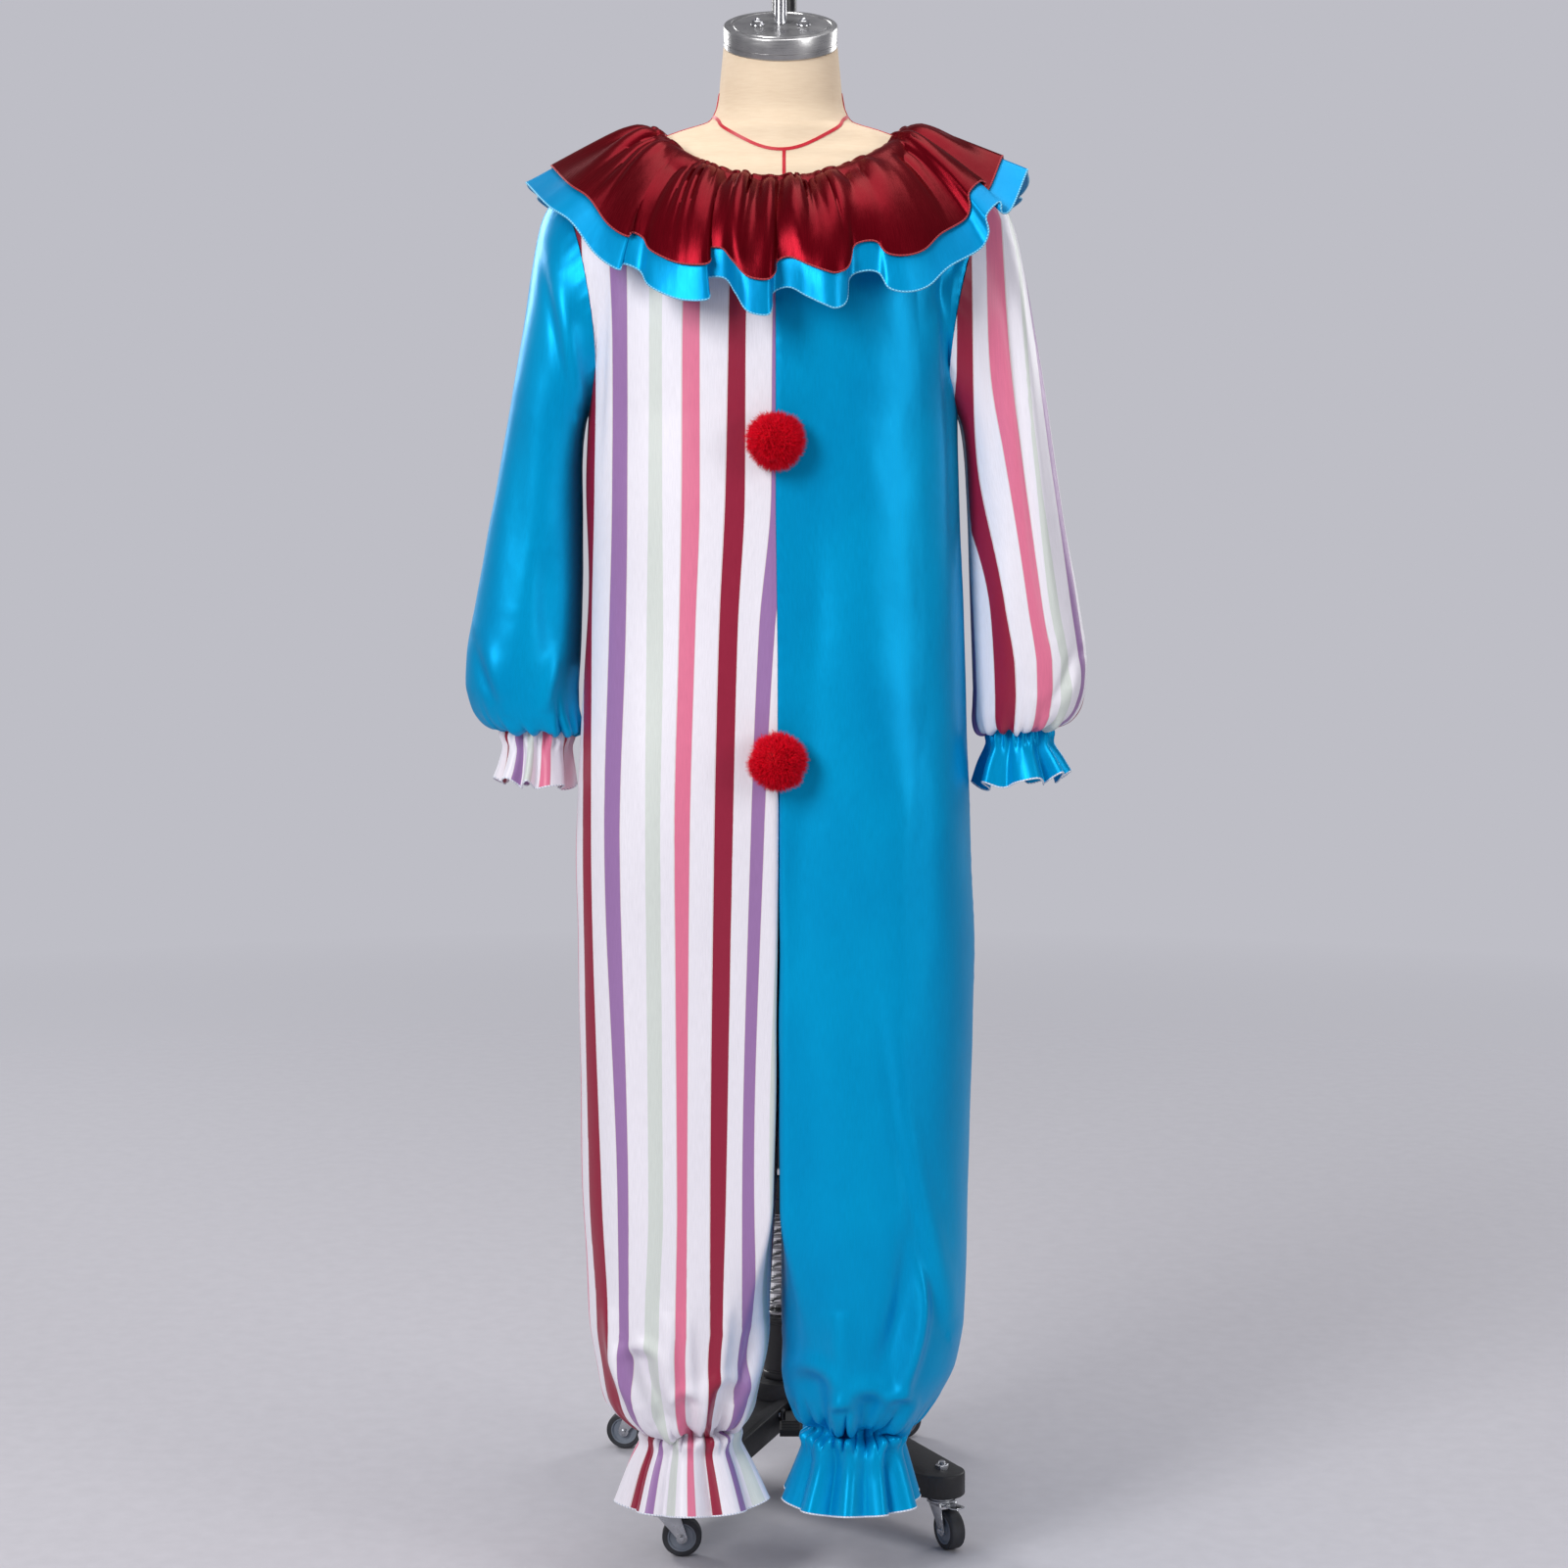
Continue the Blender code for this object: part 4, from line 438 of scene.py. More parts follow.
def shoulder(side, shares):
    top_x, top_z = ARMHOLE_TOP[side]
    x = NECK_HALF + (top_x - NECK_HALF) * shares
    past = np.clip(x - SHOULDER_END, 0, None) / (top_x - SHOULDER_END)
    drop = ridge_z(top_x) - top_z
    return x, ridge_z(x) - drop * past**1.6


def armhole(side, face, up):
    low = section(side, face, np.array([1.0]), UNDERARM_Z)[0]
    top_x, top_z = ARMHOLE_TOP[side]
    high = np.array([side * top_x, face * SEAM / 2, top_z])
    middle, half = (low + high) / 2, (high - low) / 2
    grid = middle - half * np.cos(up * math.pi)[:, None]
    grid[:, 0] -= side * ARMHOLE_BOW * np.sin(up * math.pi)
    grid[:, 1] += face * ARMHOLE_DEPTH * np.sin(up * math.pi)
    return grid


def armhole_out(side):
    low, high = armhole(side, FRONT, np.array([0.0, 1.0]))
    rise = high - low
    out = np.array([rise[2], 0.0, -rise[0]])
    return out / np.linalg.norm(out) * (1 if out[0] * side > 0 else -1)


def yoke(side, face, shares, up):
    """A line of a panel above the underarm, up to the neckline and the shoulder."""
    low = section(side, face, shares, UNDERARM_Z)
    high = np.zeros_like(low)
    on_neck = shares <= NECK_SHARE
    wide, deep, z = neckline(face, np.where(on_neck, shares / NECK_SHARE, 1.0) * math.pi / 2)
    seam_x = BODY.at("seam_x", NECK_SEAM_Z) + side * SEAM / 2
    shoulder_x, shoulder_z = shoulder(side, share((shares - NECK_SHARE) / (1 - NECK_SHARE)))
    high[:, 0] = np.where(on_neck, seam_x + (side * NECK_HALF - seam_x) * wide, side * shoulder_x)
    high[:, 1] = face * (np.where(on_neck, deep, 0.0) + SEAM / 2)
    high[:, 2] = np.where(on_neck, z, shoulder_z)
    angle = up * math.pi / 2
    rises = 1 - math.cos(angle) ** YOKE_ROUND, math.sin(angle) ** YOKE_ROUND
    grid = low + (high - low) * np.array([(1 - math.cos(up * math.pi)) / 2, *rises])
    return grid + (armhole(side, face, np.array([up]))[0] - grid[-1]) * (shares**3)[:, None]


def normals_of(grid, closed):
    return unit(np.cross(heading(grid, closed, 1), np.gradient(grid, axis=0)))


def facing_out(normals, grid, middle):
    return normals if np.sum(normals * (grid - middle), axis=-1).sum() >= 0 else -normals


# ---- building pieces ---------------------------------------------------------------------------
world_shift = Vector((0, FORM_Y, 0))


def add(name, mesh, material, node=None, body="carriage", at=world_shift, turn=(0, 0, 0)):
    """Adds a piece that rides a body; node is the CAD's node that it stands for."""
    obj = bpy.data.objects.new(name, mesh)
    scene.collection.objects.link(obj)
    obj.location, obj.rotation_euler = at, turn
    mesh.name = name
    mesh.materials.append(material)
    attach(obj, body)
    if node:
        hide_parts(node)
    return obj


def mesh_from(points, faces, uv=None):
    """uv is one pair of values a point."""
    mesh = bpy.data.meshes.new("piece")
    mesh.from_pydata(np.asarray(points).tolist(), [], faces)
    if uv is not None:
        corners = np.zeros(len(mesh.loops), int)
        mesh.loops.foreach_get("vertex_index", corners)
        layer = mesh.uv_layers.new(name="cloth")
        layer.uv.foreach_set("vector", np.asarray(uv)[corners].astype(np.float32).ravel())
    mesh.shade_smooth()
    return mesh


def finished(mesh, sharp, merge=0.0, bevel=0.0, segments=2):
    """Normals outwards, points closer than merge joined and hard edges rounded by bevel."""
    bm = bmesh.new()
    bm.from_mesh(mesh)
    if merge:
        bmesh.ops.remove_doubles(bm, verts=bm.verts, dist=merge)
    bmesh.ops.recalc_face_normals(bm, faces=bm.faces)
    if bevel:
        paired = [edge for edge in bm.edges if len(edge.link_faces) == 2]
        hard = [edge for edge in paired if edge.calc_face_angle() > math.radians(HARD_ANGLE)]
        bmesh.ops.bevel(bm, geom=hard, offset=bevel, segments=segments, profile=0.5, affect="EDGES",
                        clamp_overlap=True)
    bm.to_mesh(mesh)
    bm.free()
    mesh.shade_smooth()
    mesh.set_sharp_from_angle(angle=math.radians(sharp))
    return mesh


def quads_of(grid, out):
    """The faces of a grid, turned the way its first point faces."""
    index = np.arange(grid.shape[0] * grid.shape[1]).reshape(grid.shape[:2])
    quads = np.stack([index[:-1, :-1], index[:-1, 1:], index[1:, 1:], index[1:, :-1]], -1).reshape(-1, 4)
    across = np.cross(grid[0, 1] - grid[0, 0], grid[1, 0] - grid[0, 0])
    return (quads[:, ::-1] if across @ out[0, 0] < 0 else quads), index


def tube_faces(rows, sides, closed=False):
    """The faces of a tube of rings of points, with its ends capped or joined to each other."""
    index = np.arange(rows * sides).reshape(rows, sides)
    if closed:
        index = np.concatenate([index, index[:1]])
    a, b = index[:-1], index[1:]
    faces = np.stack([a, np.roll(a, -1, 1), np.roll(b, -1, 1), b], -1).reshape(-1, 4).tolist()
    return faces if closed else faces + [index[0][::-1].tolist(), index[-1].tolist()]


def shell(outer, out, uv, closed):
    """A closed thin shell from its outer grid; uv has one more column than a ring's grid."""
    if closed:  # the pattern has its own seam where the ring's columns meet
        outer, out = rejoined(outer), rejoined(out)
    points = np.concatenate([outer.reshape(-1, 3), (outer - out * CLOTH).reshape(-1, 3)])
    front, index = quads_of(outer, out)
    back = front[:, ::-1] + index.size
    edges = [index[-1], index[0][::-1]] + ([] if closed else [index[:, 0], index[::-1, -1]])
    rims = [np.stack([e[:-1], e[1:], e[1:] + index.size, e[:-1] + index.size], -1) for e in edges]
    faces = np.concatenate([front, back, *rims]).tolist()
    mesh = mesh_from(points, faces, np.concatenate([uv.reshape(-1, 2)] * 2))
    return finished(mesh, SMOOTH_ANGLE, merge=1e-6 if closed else 0.0)


def cord_mesh(line, radius, closed, sides=6):
    """A thin thread along a line of points, with its length as the pattern's V."""
    line = np.asarray(line, float)
    along = unit(heading(line, closed))
    side = unit(np.cross(along, UP) + 1e-9)
    up = np.cross(side, along)
    angles = TAU * np.arange(sides) / sides
    ring = side[:, None] * np.cos(angles)[None, :, None] * radius
    ring = ring + up[:, None] * np.sin(angles)[None, :, None] * radius
    uv = np.stack(np.broadcast_arrays(angles[None] / 6.28, walked(line)[:, None]), -1).reshape(-1, 2)
    return mesh_from((line[:, None] + ring).reshape(-1, 3), tube_faces(len(line), sides, closed), uv)


# ---- materials ---------------------------------------------------------------------------------
def srgb(red, green, blue):
    """A display colour (0 to 255) as the linear one that a shader takes."""
    parts = (c / 255 for c in (red, green, blue))
    return tuple(c / 12.92 if c <= 0.04045 else ((c + 0.055) / 1.055) ** 2.4 for c in parts)


class Nodes:
    """Short calls for a material's nodes. A value that is a socket is linked, a name with a
    space in it is written with an underscore."""

    def __init__(self, name, **values):
        self.material = bpy.data.materials.new(name)
        self.material.use_nodes = True
        self.tree = self.material.node_tree
        self.tree.nodes.clear()
        self.out = self.tree.nodes.new("ShaderNodeOutputMaterial")
        self.shader = self.tree.nodes.new("ShaderNodeBsdfPrincipled")
        self.fill(self.out, {"Surface": self.shader.outputs[0]})
        self.shade(**values)

    def fill(self, node, values):
        for name, value in values.items():
            by_name = isinstance(name, str)
            socket = node.inputs.get(name.replace("_", " ")) if by_name else node.inputs[name]
            if socket is None:
                setattr(node, name, value)
            elif isinstance(value, bpy.types.NodeSocket):
                self.tree.links.new(value, socket)
            else:
                socket.default_value = (*value, 1.0) if socket.type == "RGBA" else value

    def shade(self, **values):
        self.fill(self.shader, values)

    def node(self, kind, output=0, **values):
        made = self.tree.nodes.new("ShaderNode" + kind)
        self.fill(made, values)
        return made.outputs[output]

    def math(self, operation, a, b=0.0):
        made = self.node("Math", operation=operation)
        self.fill(made.node, {0: a, 1: b})
        return made

    def coordinates(self, scale=(1, 1, 1)):
        return self.node("Mapping", Scale=scale, Vector=self.node("TexCoord", "Object"))

    def pattern(self):
        """The cloth's U across the threads and V along them, in metres."""
        return self.node("SeparateXYZ", Vector=self.node("UVMap", uv_map="cloth")).node.outputs

    def noise(self, vector, scale, detail=3.0, rough=0.55):
        return self.node("TexNoise", "Fac", Vector=vector, Scale=scale, Detail=detail, Roughness=rough)

    def ramp(self, factor, stops, interpolation="LINEAR"):
        made = self.node("ValToRGB", Fac=factor)
        made.node.color_ramp.interpolation = interpolation
        elements = made.node.color_ramp.elements
        while len(elements) < len(stops):
            elements.new(0.5)
        for element, (position, colour) in zip(elements, stops):
            element.position, element.color = position, (*colour, 1.0)
        return made

    def span(self, value, low, high, to_low, to_high):
        ends = {"From_Min": low, "From_Max": high, "To_Min": to_low, "To_Max": to_high}
        return self.node("MapRange", Value=value, **ends)

    def bump(self, height, strength, distance, **below):
        return self.node("Bump", Height=height, Strength=strength, Distance=distance, **below)


def satin(name, base, deep, tint, roughness, metallic=0.0, sheen=0.03, stripes=None):
    """Satin: a smooth face of long threads, with its gloss along them, a fine weave and soft
    small creases. The pattern's U runs across the threads in metres, V along them."""
    n = Nodes(
        name, Specular_IOR_Level=0.5, Sheen_Weight=sheen, Sheen_Roughness=0.3, Metallic=metallic,
        Sheen_Tint=tint, Specular_Tint=tint, Anisotropic=0.5, Anisotropic_Rotation=0.25,
    )
    uv = n.node("UVMap", uv_map="cloth")
    thread = n.noise(n.node("Mapping", Vector=uv, Scale=(900.0, 60.0, 1.0)), 1.0, 2.0)
    weft = n.noise(n.node("Mapping", Vector=uv, Scale=(110.0, 1400.0, 1.0)), 1.0, 1.0)
    place = n.coordinates((1.0, 1.0, 0.55))
    if stripes:
        colour = n.ramp(n.math("FRACT", n.math("DIVIDE", n.pattern()[0], REPEAT)), stripes, "CONSTANT")
    else:
        colour = n.ramp(n.noise(place, 9.0, 3.0, 0.5), [(0.30, deep), (0.62, base)])
    creases = n.bump(thread, 0.10, 0.0004, Normal=n.bump(n.noise(place, 26.0, 3.0, 0.5), 0.22, 0.004))
    n.shade(
        Tangent=n.node("Tangent", direction_type="UV_MAP", uv_map="cloth"),
        Base_Color=n.node("HueSaturation", Color=colour, Value=n.span(thread, 0.3, 0.7, 0.955, 1.035)),
        Roughness=n.span(thread, 0.25, 0.75, roughness - 0.05, roughness + 0.07),
        Normal=n.bump(weft, 0.08, 0.0003, Normal=creases),
    )
    return n.material


REPEAT = 0.170
WHITE, PURPLE, BURGUNDY = srgb(240, 236, 244), srgb(158, 118, 172), srgb(150, 24, 56)
PINK, GREY, OUTLINE = srgb(228, 118, 150), srgb(214, 220, 214), srgb(222, 206, 206)
STRIPE_STARTS = [
    (0.0000, WHITE), (0.0230, OUTLINE), (0.0237, BURGUNDY), (0.0438, OUTLINE), (0.0445, WHITE),
    (0.0705, OUTLINE), (0.0712, PINK), (0.0883, OUTLINE), (0.0890, WHITE), (0.1100, GREY),
    (0.1270, WHITE), (0.1505, OUTLINE), (0.1512, PURPLE), (0.1693, OUTLINE),
]
BLUE_TINT = (0.10, 0.72, 1.0)
SATIN = {
    "striped_satin": satin(
        "striped satin", WHITE, WHITE, (1.0, 0.97, 1.0), 0.40, 0.0, 0.08,
        [(start / REPEAT, colour) for start, colour in STRIPE_STARTS],
    ),
    "blue_satin": satin(
        "blue satin", srgb(0, 160, 216), srgb(0, 148, 206), BLUE_TINT, 0.38, 0.28
    ),
    "collar_blue": satin(
        "collar blue satin", srgb(0, 150, 208), srgb(0, 132, 192), BLUE_TINT, 0.36, 0.28
    ),
    "burgundy_satin": satin(
        "burgundy satin", srgb(100, 3, 16), srgb(78, 2, 10), (1.0, 0.10, 0.14), 0.27, 0.50, 0.0
    ),
}


def overlock_thread(name, pale, deep):
    """Overlocked edge: close stitches across a cord, each a ridge with a shaded gap."""
    n = Nodes(name, Roughness=0.6, Sheen_Weight=0.2)
    across, along, _ = n.pattern()
    pitch = 0.0034
    tooth = n.math("PINGPONG", n.math("ADD", n.math("DIVIDE", along, pitch), across), 0.5)
    stitches = n.ramp(n.math("MULTIPLY", tooth, 2.0), [(0.12, deep), (0.45, pale)])
    n.shade(Base_Color=stitches, Normal=n.bump(tooth, 0.7, 0.0006))
    return n.material


white_overlock = overlock_thread("white overlock", srgb(238, 240, 246), srgb(178, 190, 214))
blue_overlock = overlock_thread("blue overlock", srgb(120, 206, 236), srgb(0, 118, 178))
red_overlock = overlock_thread("red overlock", srgb(176, 26, 38), srgb(96, 8, 18))


# ---- body and legs -----------------------------------------------------------------------------
STRIPE_EDGES = np.array([0, 23, 44.5, 70.5, 89, 110, 127, 150.5, 170, 193, 214.5]) / 1000
# Where the stripes' edges fall on the front: their distance from the middle plane.
BODY_STRIPES = Table("z 0 1 2 3 4 5 6 7 8 9 10", """
    .096 .041 .0605 .0745 .0985 .111 .128 .143 .16 .171 .182 .196,
    .3 .041 .0605 .0745 .0985 .111 .128 .143 .16 .171 .182 .196,
    .438 .0407 .0569 .0742 .0976 .1088 .123 .1383 .1596 .1718 .1881 .2034,
    .824 .0315 .0488 .0691 .093 .1101 .124 .1393 .1662 .184 .1977 .2079,
    1.048 .0226 .0431 .0635 .0864 .1047 .1204 .1375 .1593 .1785 .1973 .207,
    1.19 .0102 .0356 .0569 .0813 .1017 .121 .1352 .157 .1744 .1932 .205,
    1.343 .0092 .0349 .0535 .0813 .1007 .121 .1339 .1564 .1732 .191 .208,
    1.5 .006 .029 .0505 .0765 .095 .116 .133 .158 .179 .205 .225
""")
SLEEVE_STRIPES = Table("z 0 1 2 3 4 5 6 7 8", """
    .93 .218 .229 .246 .261 .279 .287 .296 .308 .318, .983 .208 .2245 .247 .268 .287 .296 .304 .315 .322,
    1.0705 .199 .2186 .2346 .2567 .2732 .2794 .2897 .3031 .3124,
    1.241 .172 .1886 .2072 .2298 .2474 .2597 .2618 .273 .2793,
    1.343 .164 .1835 .2 .2133 .233 .2474 .2515 .257 .2608, 1.45 .156 .178 .194 .208 .223 .235 .24 .245 .249
""")


def stripe_at(table, reach, z, walk):
    """The pattern's U along one front row: set by the stripes while the cloth faces forward, and
    by the way along the cloth beyond them."""
    count = len(table.of) - 1
    places = np.array([float(table.at(str(k), z)) for k in range(count)])
    values = STRIPE_EDGES[:count]
    u = np.interp(reach, places, values)
    inside = np.nonzero((reach >= places[0]) & (reach <= places[-1]))[0]
    if len(inside):
        low, high = inside[0], inside[-1]
        scale = (values[1] - values[0]) / (places[1] - places[0])
        hidden = (walk[low] - walk[:low]) - (reach[low] - reach[:low])
        u[:low] = values[0] - (places[0] - reach[:low]) * scale - hidden
        u[high:] = u[high] + (walk[high:] - walk[high]) * 0.95
    return u


PUCKERS = {  # at the ankle: tucks of the gather, where they start, waves of the hem
    "front_striped": (13, 0.4, 5.0), "front_blue": (14, 1.9, 5.5),
    "back_striped": (14, 3.1, 5.0), "back_blue": (13, 4.4, 5.0),
}
PANEL_COLUMNS = {FRONT: 112, BACK: 92}
ANKLE_TUCK, ANKLE_REACH, ANKLE_ROLL = 0.0044, 0.034, 0.0034  # heights, and how far up tucks run
SEAM_FADE, TOP_FADE, SEAM_DIP = 0.022, 0.05, 0.0008  # where folds end, and how far seams sink in
SMOOTH = {  # a piece's broad and fine unevenness: height, squeeze in Z and wave
    "panel": ((0.0017, 0.28, 0.150), (0.0004, 0.5, 0.050)),
    "sleeve": ((0.0015, 0.35, 0.110), (0.0004, 0.5, 0.045)),
}
YOKE_UPS = np.linspace(1, 0, 62) ** 1.25
KNEE_Z, STRAIGHT_Z = 0.335, 0.30  # where the rows get closer, and below which the stripes run straight
HEIGHTS = np.concatenate([np.linspace(UNDERARM_Z, KNEE_Z, 140)[1:], np.linspace(KNEE_Z, HEM_Z, 84)[1:]])


def tied_ends(out, side):
    """The cloth's edges keep to their seams' planes."""
    aside = armhole_out(side)
    rows = len(YOKE_UPS)
    for r in range(len(out)):
        if r < rows or HEIGHTS[r - rows] > SPLIT_Z - 0.012:
            out[r, 0, 0] = 0.0
        else:
            out[r, 0] = (-side, 0.0, 0.0)
        if r < rows:
            out[r, -1] -= min(float(out[r, -1] @ aside), 0.0) * aside
        else:
            out[r, -1, 1] = 0.0
    out[0, int(NECK_SHARE * (out.shape[1] - 1)):, 1] = 0.0
    out /= np.maximum(np.linalg.norm(out, axis=-1, keepdims=True), 1e-12)


def panel_out(grid, level, side):
    out = facing_out(normals_of(grid, False), level, np.array([0.0, 0.0, 1.2]))
    tied_ends(out, side)
    return out


def ankle_push(name, q, z):
    """The gather at the ankle and the ruffle below it."""
    tucks, start, hem_waves = PUCKERS[name]
    above, below = np.clip(z - GATHER_Z, 0, None), np.clip(GATHER_Z - z, 0, None)
    phase = tucks * (q + 0.010 * np.sin(9 * q + start) + 0.006 * np.sin(23 * q + 2 * start))
    pucker = gathered(phase, 2.0)
    reach = ANKLE_REACH + 0.014 * np.sin(2.1 * phase + start) + 0.008 * np.sin(5.3 * phase)
    size = 0.90 + 0.25 * np.sin(1.7 * phase + 2 * start)
    rise = share(1 - above / reach) ** 1.3 * (1 + 0.35 * share(above / 0.010))
    tall = ANKLE_TUCK * pucker * size
    over = tall * rise + 0.7 * feed_push(name, q, above, False)
    roll = (ANKLE_ROLL + ANKLE_TUCK / 2 * pucker * size) * hump(below, 0.0110, 0.0065)
    waves = hem_waves * (q + 0.022 * np.sin(7 * q + start) + 0.010 * np.sin(17 * q + 1.3 * start))
    fold = 0.55 * gathered(waves) - 0.45 * np.cos(TAU * waves)
    fold = fold * (1 + 0.35 * np.sin(2.9 * waves + start))
    under = roll + tall * hump(below, 0, 0.014)
    under += fold * (0.0030 * share(below / 0.012) + 0.0052 * share(below / 0.082))
    return np.where(z >= GATHER_Z, over, under)


def panel(side, face):
    """A front or a back with its leg: its grid, the way out of it and its pattern."""
    name = FACE_NAME[face] + "_" + HALF_NAME[side]
    columns = PANEL_COLUMNS[face]
    shares = np.linspace(0.0, 1.0, columns + 1)
    grid = [yoke(side, face, shares, up) for up in YOKE_UPS]
    grid = np.array(grid + [section(side, face, shares, z) for z in HEIGHTS])
    level = grid * [1, 1, 0] + [0, 0, 1.2]
    out = panel_out(grid, level, side)
    wide = walked(grid, 1)[:, -1:]
    q, z = np.broadcast_to(shares, grid.shape[:2]), grid[..., 2]
    arc, to_side = q * wide, (1 - q) * wide
    edge = share(np.minimum(arc, to_side) / SEAM_FADE) ** 0.8
    top = share(np.linalg.norm(grid - grid[:1], axis=2) / TOP_FADE)
    seeds = 11 + 7 * side + face, 5 + 3 * side + face
    push = creased(name, grid, edge, top, SMOOTH["panel"], seeds) + ankle_push(name, q, z)
    for from_seam, seed in ((arc, 1.0), (to_side, 2.0)):  # the seams draw the cloth in, unevenly
        tug = 0.0005 + 0.0006 * np.sin(z * 410 + 3 * np.sin(z * 57 + seed)) * hump(from_seam, 0, 0.010)
        tug = np.where(from_seam < 0.03, tug * hump(from_seam, 0, 0.012), 0)
        push -= (hump(from_seam, 0, 0.0035) * SEAM_DIP + tug) * (z > 0.2)
    grid = grid + out * push[..., None]
    out = panel_out(grid, level, side)
    steps = np.diff(grid, axis=1)
    upright = np.sqrt(np.clip(1 - out[:, 1:, 2] ** 2, 0, 1))
    flat_step = np.sqrt(steps[..., 0] ** 2 + (steps[..., 1] * upright) ** 2)
    walk = np.insert(np.cumsum(flat_step, 1), 0, 0, 1)
    u = np.zeros(grid.shape[:2])
    straight = len(YOKE_UPS) + int(np.argmin(np.abs(HEIGHTS - STRAIGHT_Z)))
    for r in range(straight + 1):
        forward = np.maximum.accumulate(side * grid[r, :, 0]) + np.arange(columns + 1) * 1e-7
        u[r] = stripe_at(BODY_STRIPES, forward, float(np.median(grid[r, :, 2])), walk[r])
    u[straight + 1:] = u[straight]
    return grid, out, np.stack([u, -walked(grid)], -1)


grids, pieces = {}, {}


def sewn(name, slot, made, closed=True, satin_name=None):
    """Adds a piece of cloth and keeps its grid, which other pieces lie on."""
    grid, out, uv = made
    grids[name] = grid, out
    mesh = shell(grid, out, uv, closed)
    pieces[name] = add(name + "_cloth", mesh, SATIN[satin_name or slot], name)


PANELS = ["front_striped", "back_striped", "front_blue", "back_blue"]
for side_, slot_ in ((STRIPED, "striped_satin"), (BLUE, "blue_satin")):
    for face_ in (FRONT, BACK):
        sewn(FACE_NAME[face_] + "_" + HALF_NAME[side_], slot_, panel(side_, face_), False)


# ---- sleeves and wrist ruffles -----------------------------------------------------------------
SLEEVE_COLUMNS, CUFF_COLUMNS, CUFF_ROWS = 120, 176, 22
SLEEVE_ROUND = 0.95  # a power: 1 is an ellipse, less is squarer
WRIST_TUCKS, WRIST_TUCK, WRIST_REACH = 22, 0.0040, 0.036
CUFF_WAVES, CUFF_GATHERS = 8, 24
CUFF_FOLDS = {"cuff_striped": (0.0066, 2.1), "cuff_blue": (0.0078, 0.7)}  # height and start


def table_ring(name, side, where, turns, squareness):
    at = {column: TUBES[name].at(column, where) for column in RING.split()}
    outer, inner = (np.array([at[edge + "_x"], at[edge + "_z"]]) for edge in ("outer", "inner"))
    middle, half = (outer + inner) / 2, (outer - inner) / 2
    line = middle - half * power(np.cos(turns), squareness)[:, None]
    return np.stack([side * line[:, 0], -at["depth"] * power(np.sin(turns), squareness), line[:, 1]], 1)


def ring_out(grid):
    return facing_out(normals_of(grid, True), grid, grid.mean(axis=1, keepdims=True))


def sleeve(name, side):
    columns = SLEEVE_COLUMNS
    turns = around(columns)
    wheres = np.concatenate([np.linspace(0, 0.78, 84), np.linspace(0.78, 1.0, 47)[1:]])
    loop = []
    for turn in turns:
        face, up = (FRONT, turn / math.pi) if turn <= math.pi else (BACK, 2 - turn / math.pi)
        loop.append(armhole(side, face, np.array([up]))[0])
    first = np.array(loop) + armhole_out(side) * SEAM
    ring, *rings = [table_ring(name, side, where, turns, SLEEVE_ROUND) for where in wheres]
    grid = np.array([first] + rings)
    bow = np.outer(-side * ARMHOLE_BOW * np.abs(np.sin(turns)), [1, 0, 0])
    for r, where in enumerate(wheres[1:], 1):
        grid[r] += (first - ring - bow) * max(1 - where / 0.06, 0) ** 1.5
        grid[r] += bow * max(1 - where / 0.30, 0) ** 1.6
    out = ring_out(grid)
    q = np.broadcast_to(turns / TAU, grid.shape[:2])
    down = walked(grid)
    left = down[-1:] - down
    hold, ease = share(down / 0.03), share(left / 0.02)
    push = creased(name, grid, hold, ease, SMOOTH["sleeve"], (31 + side, 37 + side))
    push += 1.6 * feed_push(name, q, left, True)
    phase = WRIST_TUCKS * q + 0.22 * np.sin(TAU * 2 * q + side) + 0.12 * np.sin(TAU * 5 * q)
    size = 0.85 + 0.30 * np.sin(TAU * 5 * q + side)
    long = WRIST_REACH + 0.018 * np.sin(TAU * 4 * q + side) + 0.010 * np.sin(TAU * 9 * q)
    fade = share(1 - left / long) ** 1.2 * (0.45 + share(left / 0.010))
    push += WRIST_TUCK * gathered(phase) * size * fade
    seam = np.sin(TAU * 38 * q + 2 * np.sin(7 * q)) * hump(down, 0, 0.012)
    push += 0.0007 * seam * share(down / 0.004)
    grid = grid + out * push[..., None]
    out = ring_out(grid)
    aside = armhole_out(side)
    out[0] = unit(out[0] - np.maximum(out[0] @ aside, 0.0)[:, None] * aside)
    girth = walked(rejoined(grid), 1)
    front = slice(columns // 16, columns // 2 - columns // 16)
    last = int(np.argmin(np.abs(wheres - 0.73)))  # below it the stripes run straight
    u = np.zeros(girth.shape)
    for r in range(last + 1):
        reach = np.maximum.accumulate(side * grid[r, front, 0]) + np.arange(columns)[front] * 1e-7
        shown = stripe_at(SLEEVE_STRIPES, reach, float(grid[r, columns // 4, 2]), girth[r, front])
        u[r, front] = shown
        u[r, : front.start] = shown[0] - (girth[r, front.start] - girth[r, : front.start]) * 1.1
        u[r, front.stop:] = shown[-1] + (girth[r, front.stop:] - girth[r, front.stop - 1]) * 1.1
    u[last + 1:] = u[last]
    return grid, out, np.stack([u, -rejoined(down)], -1)


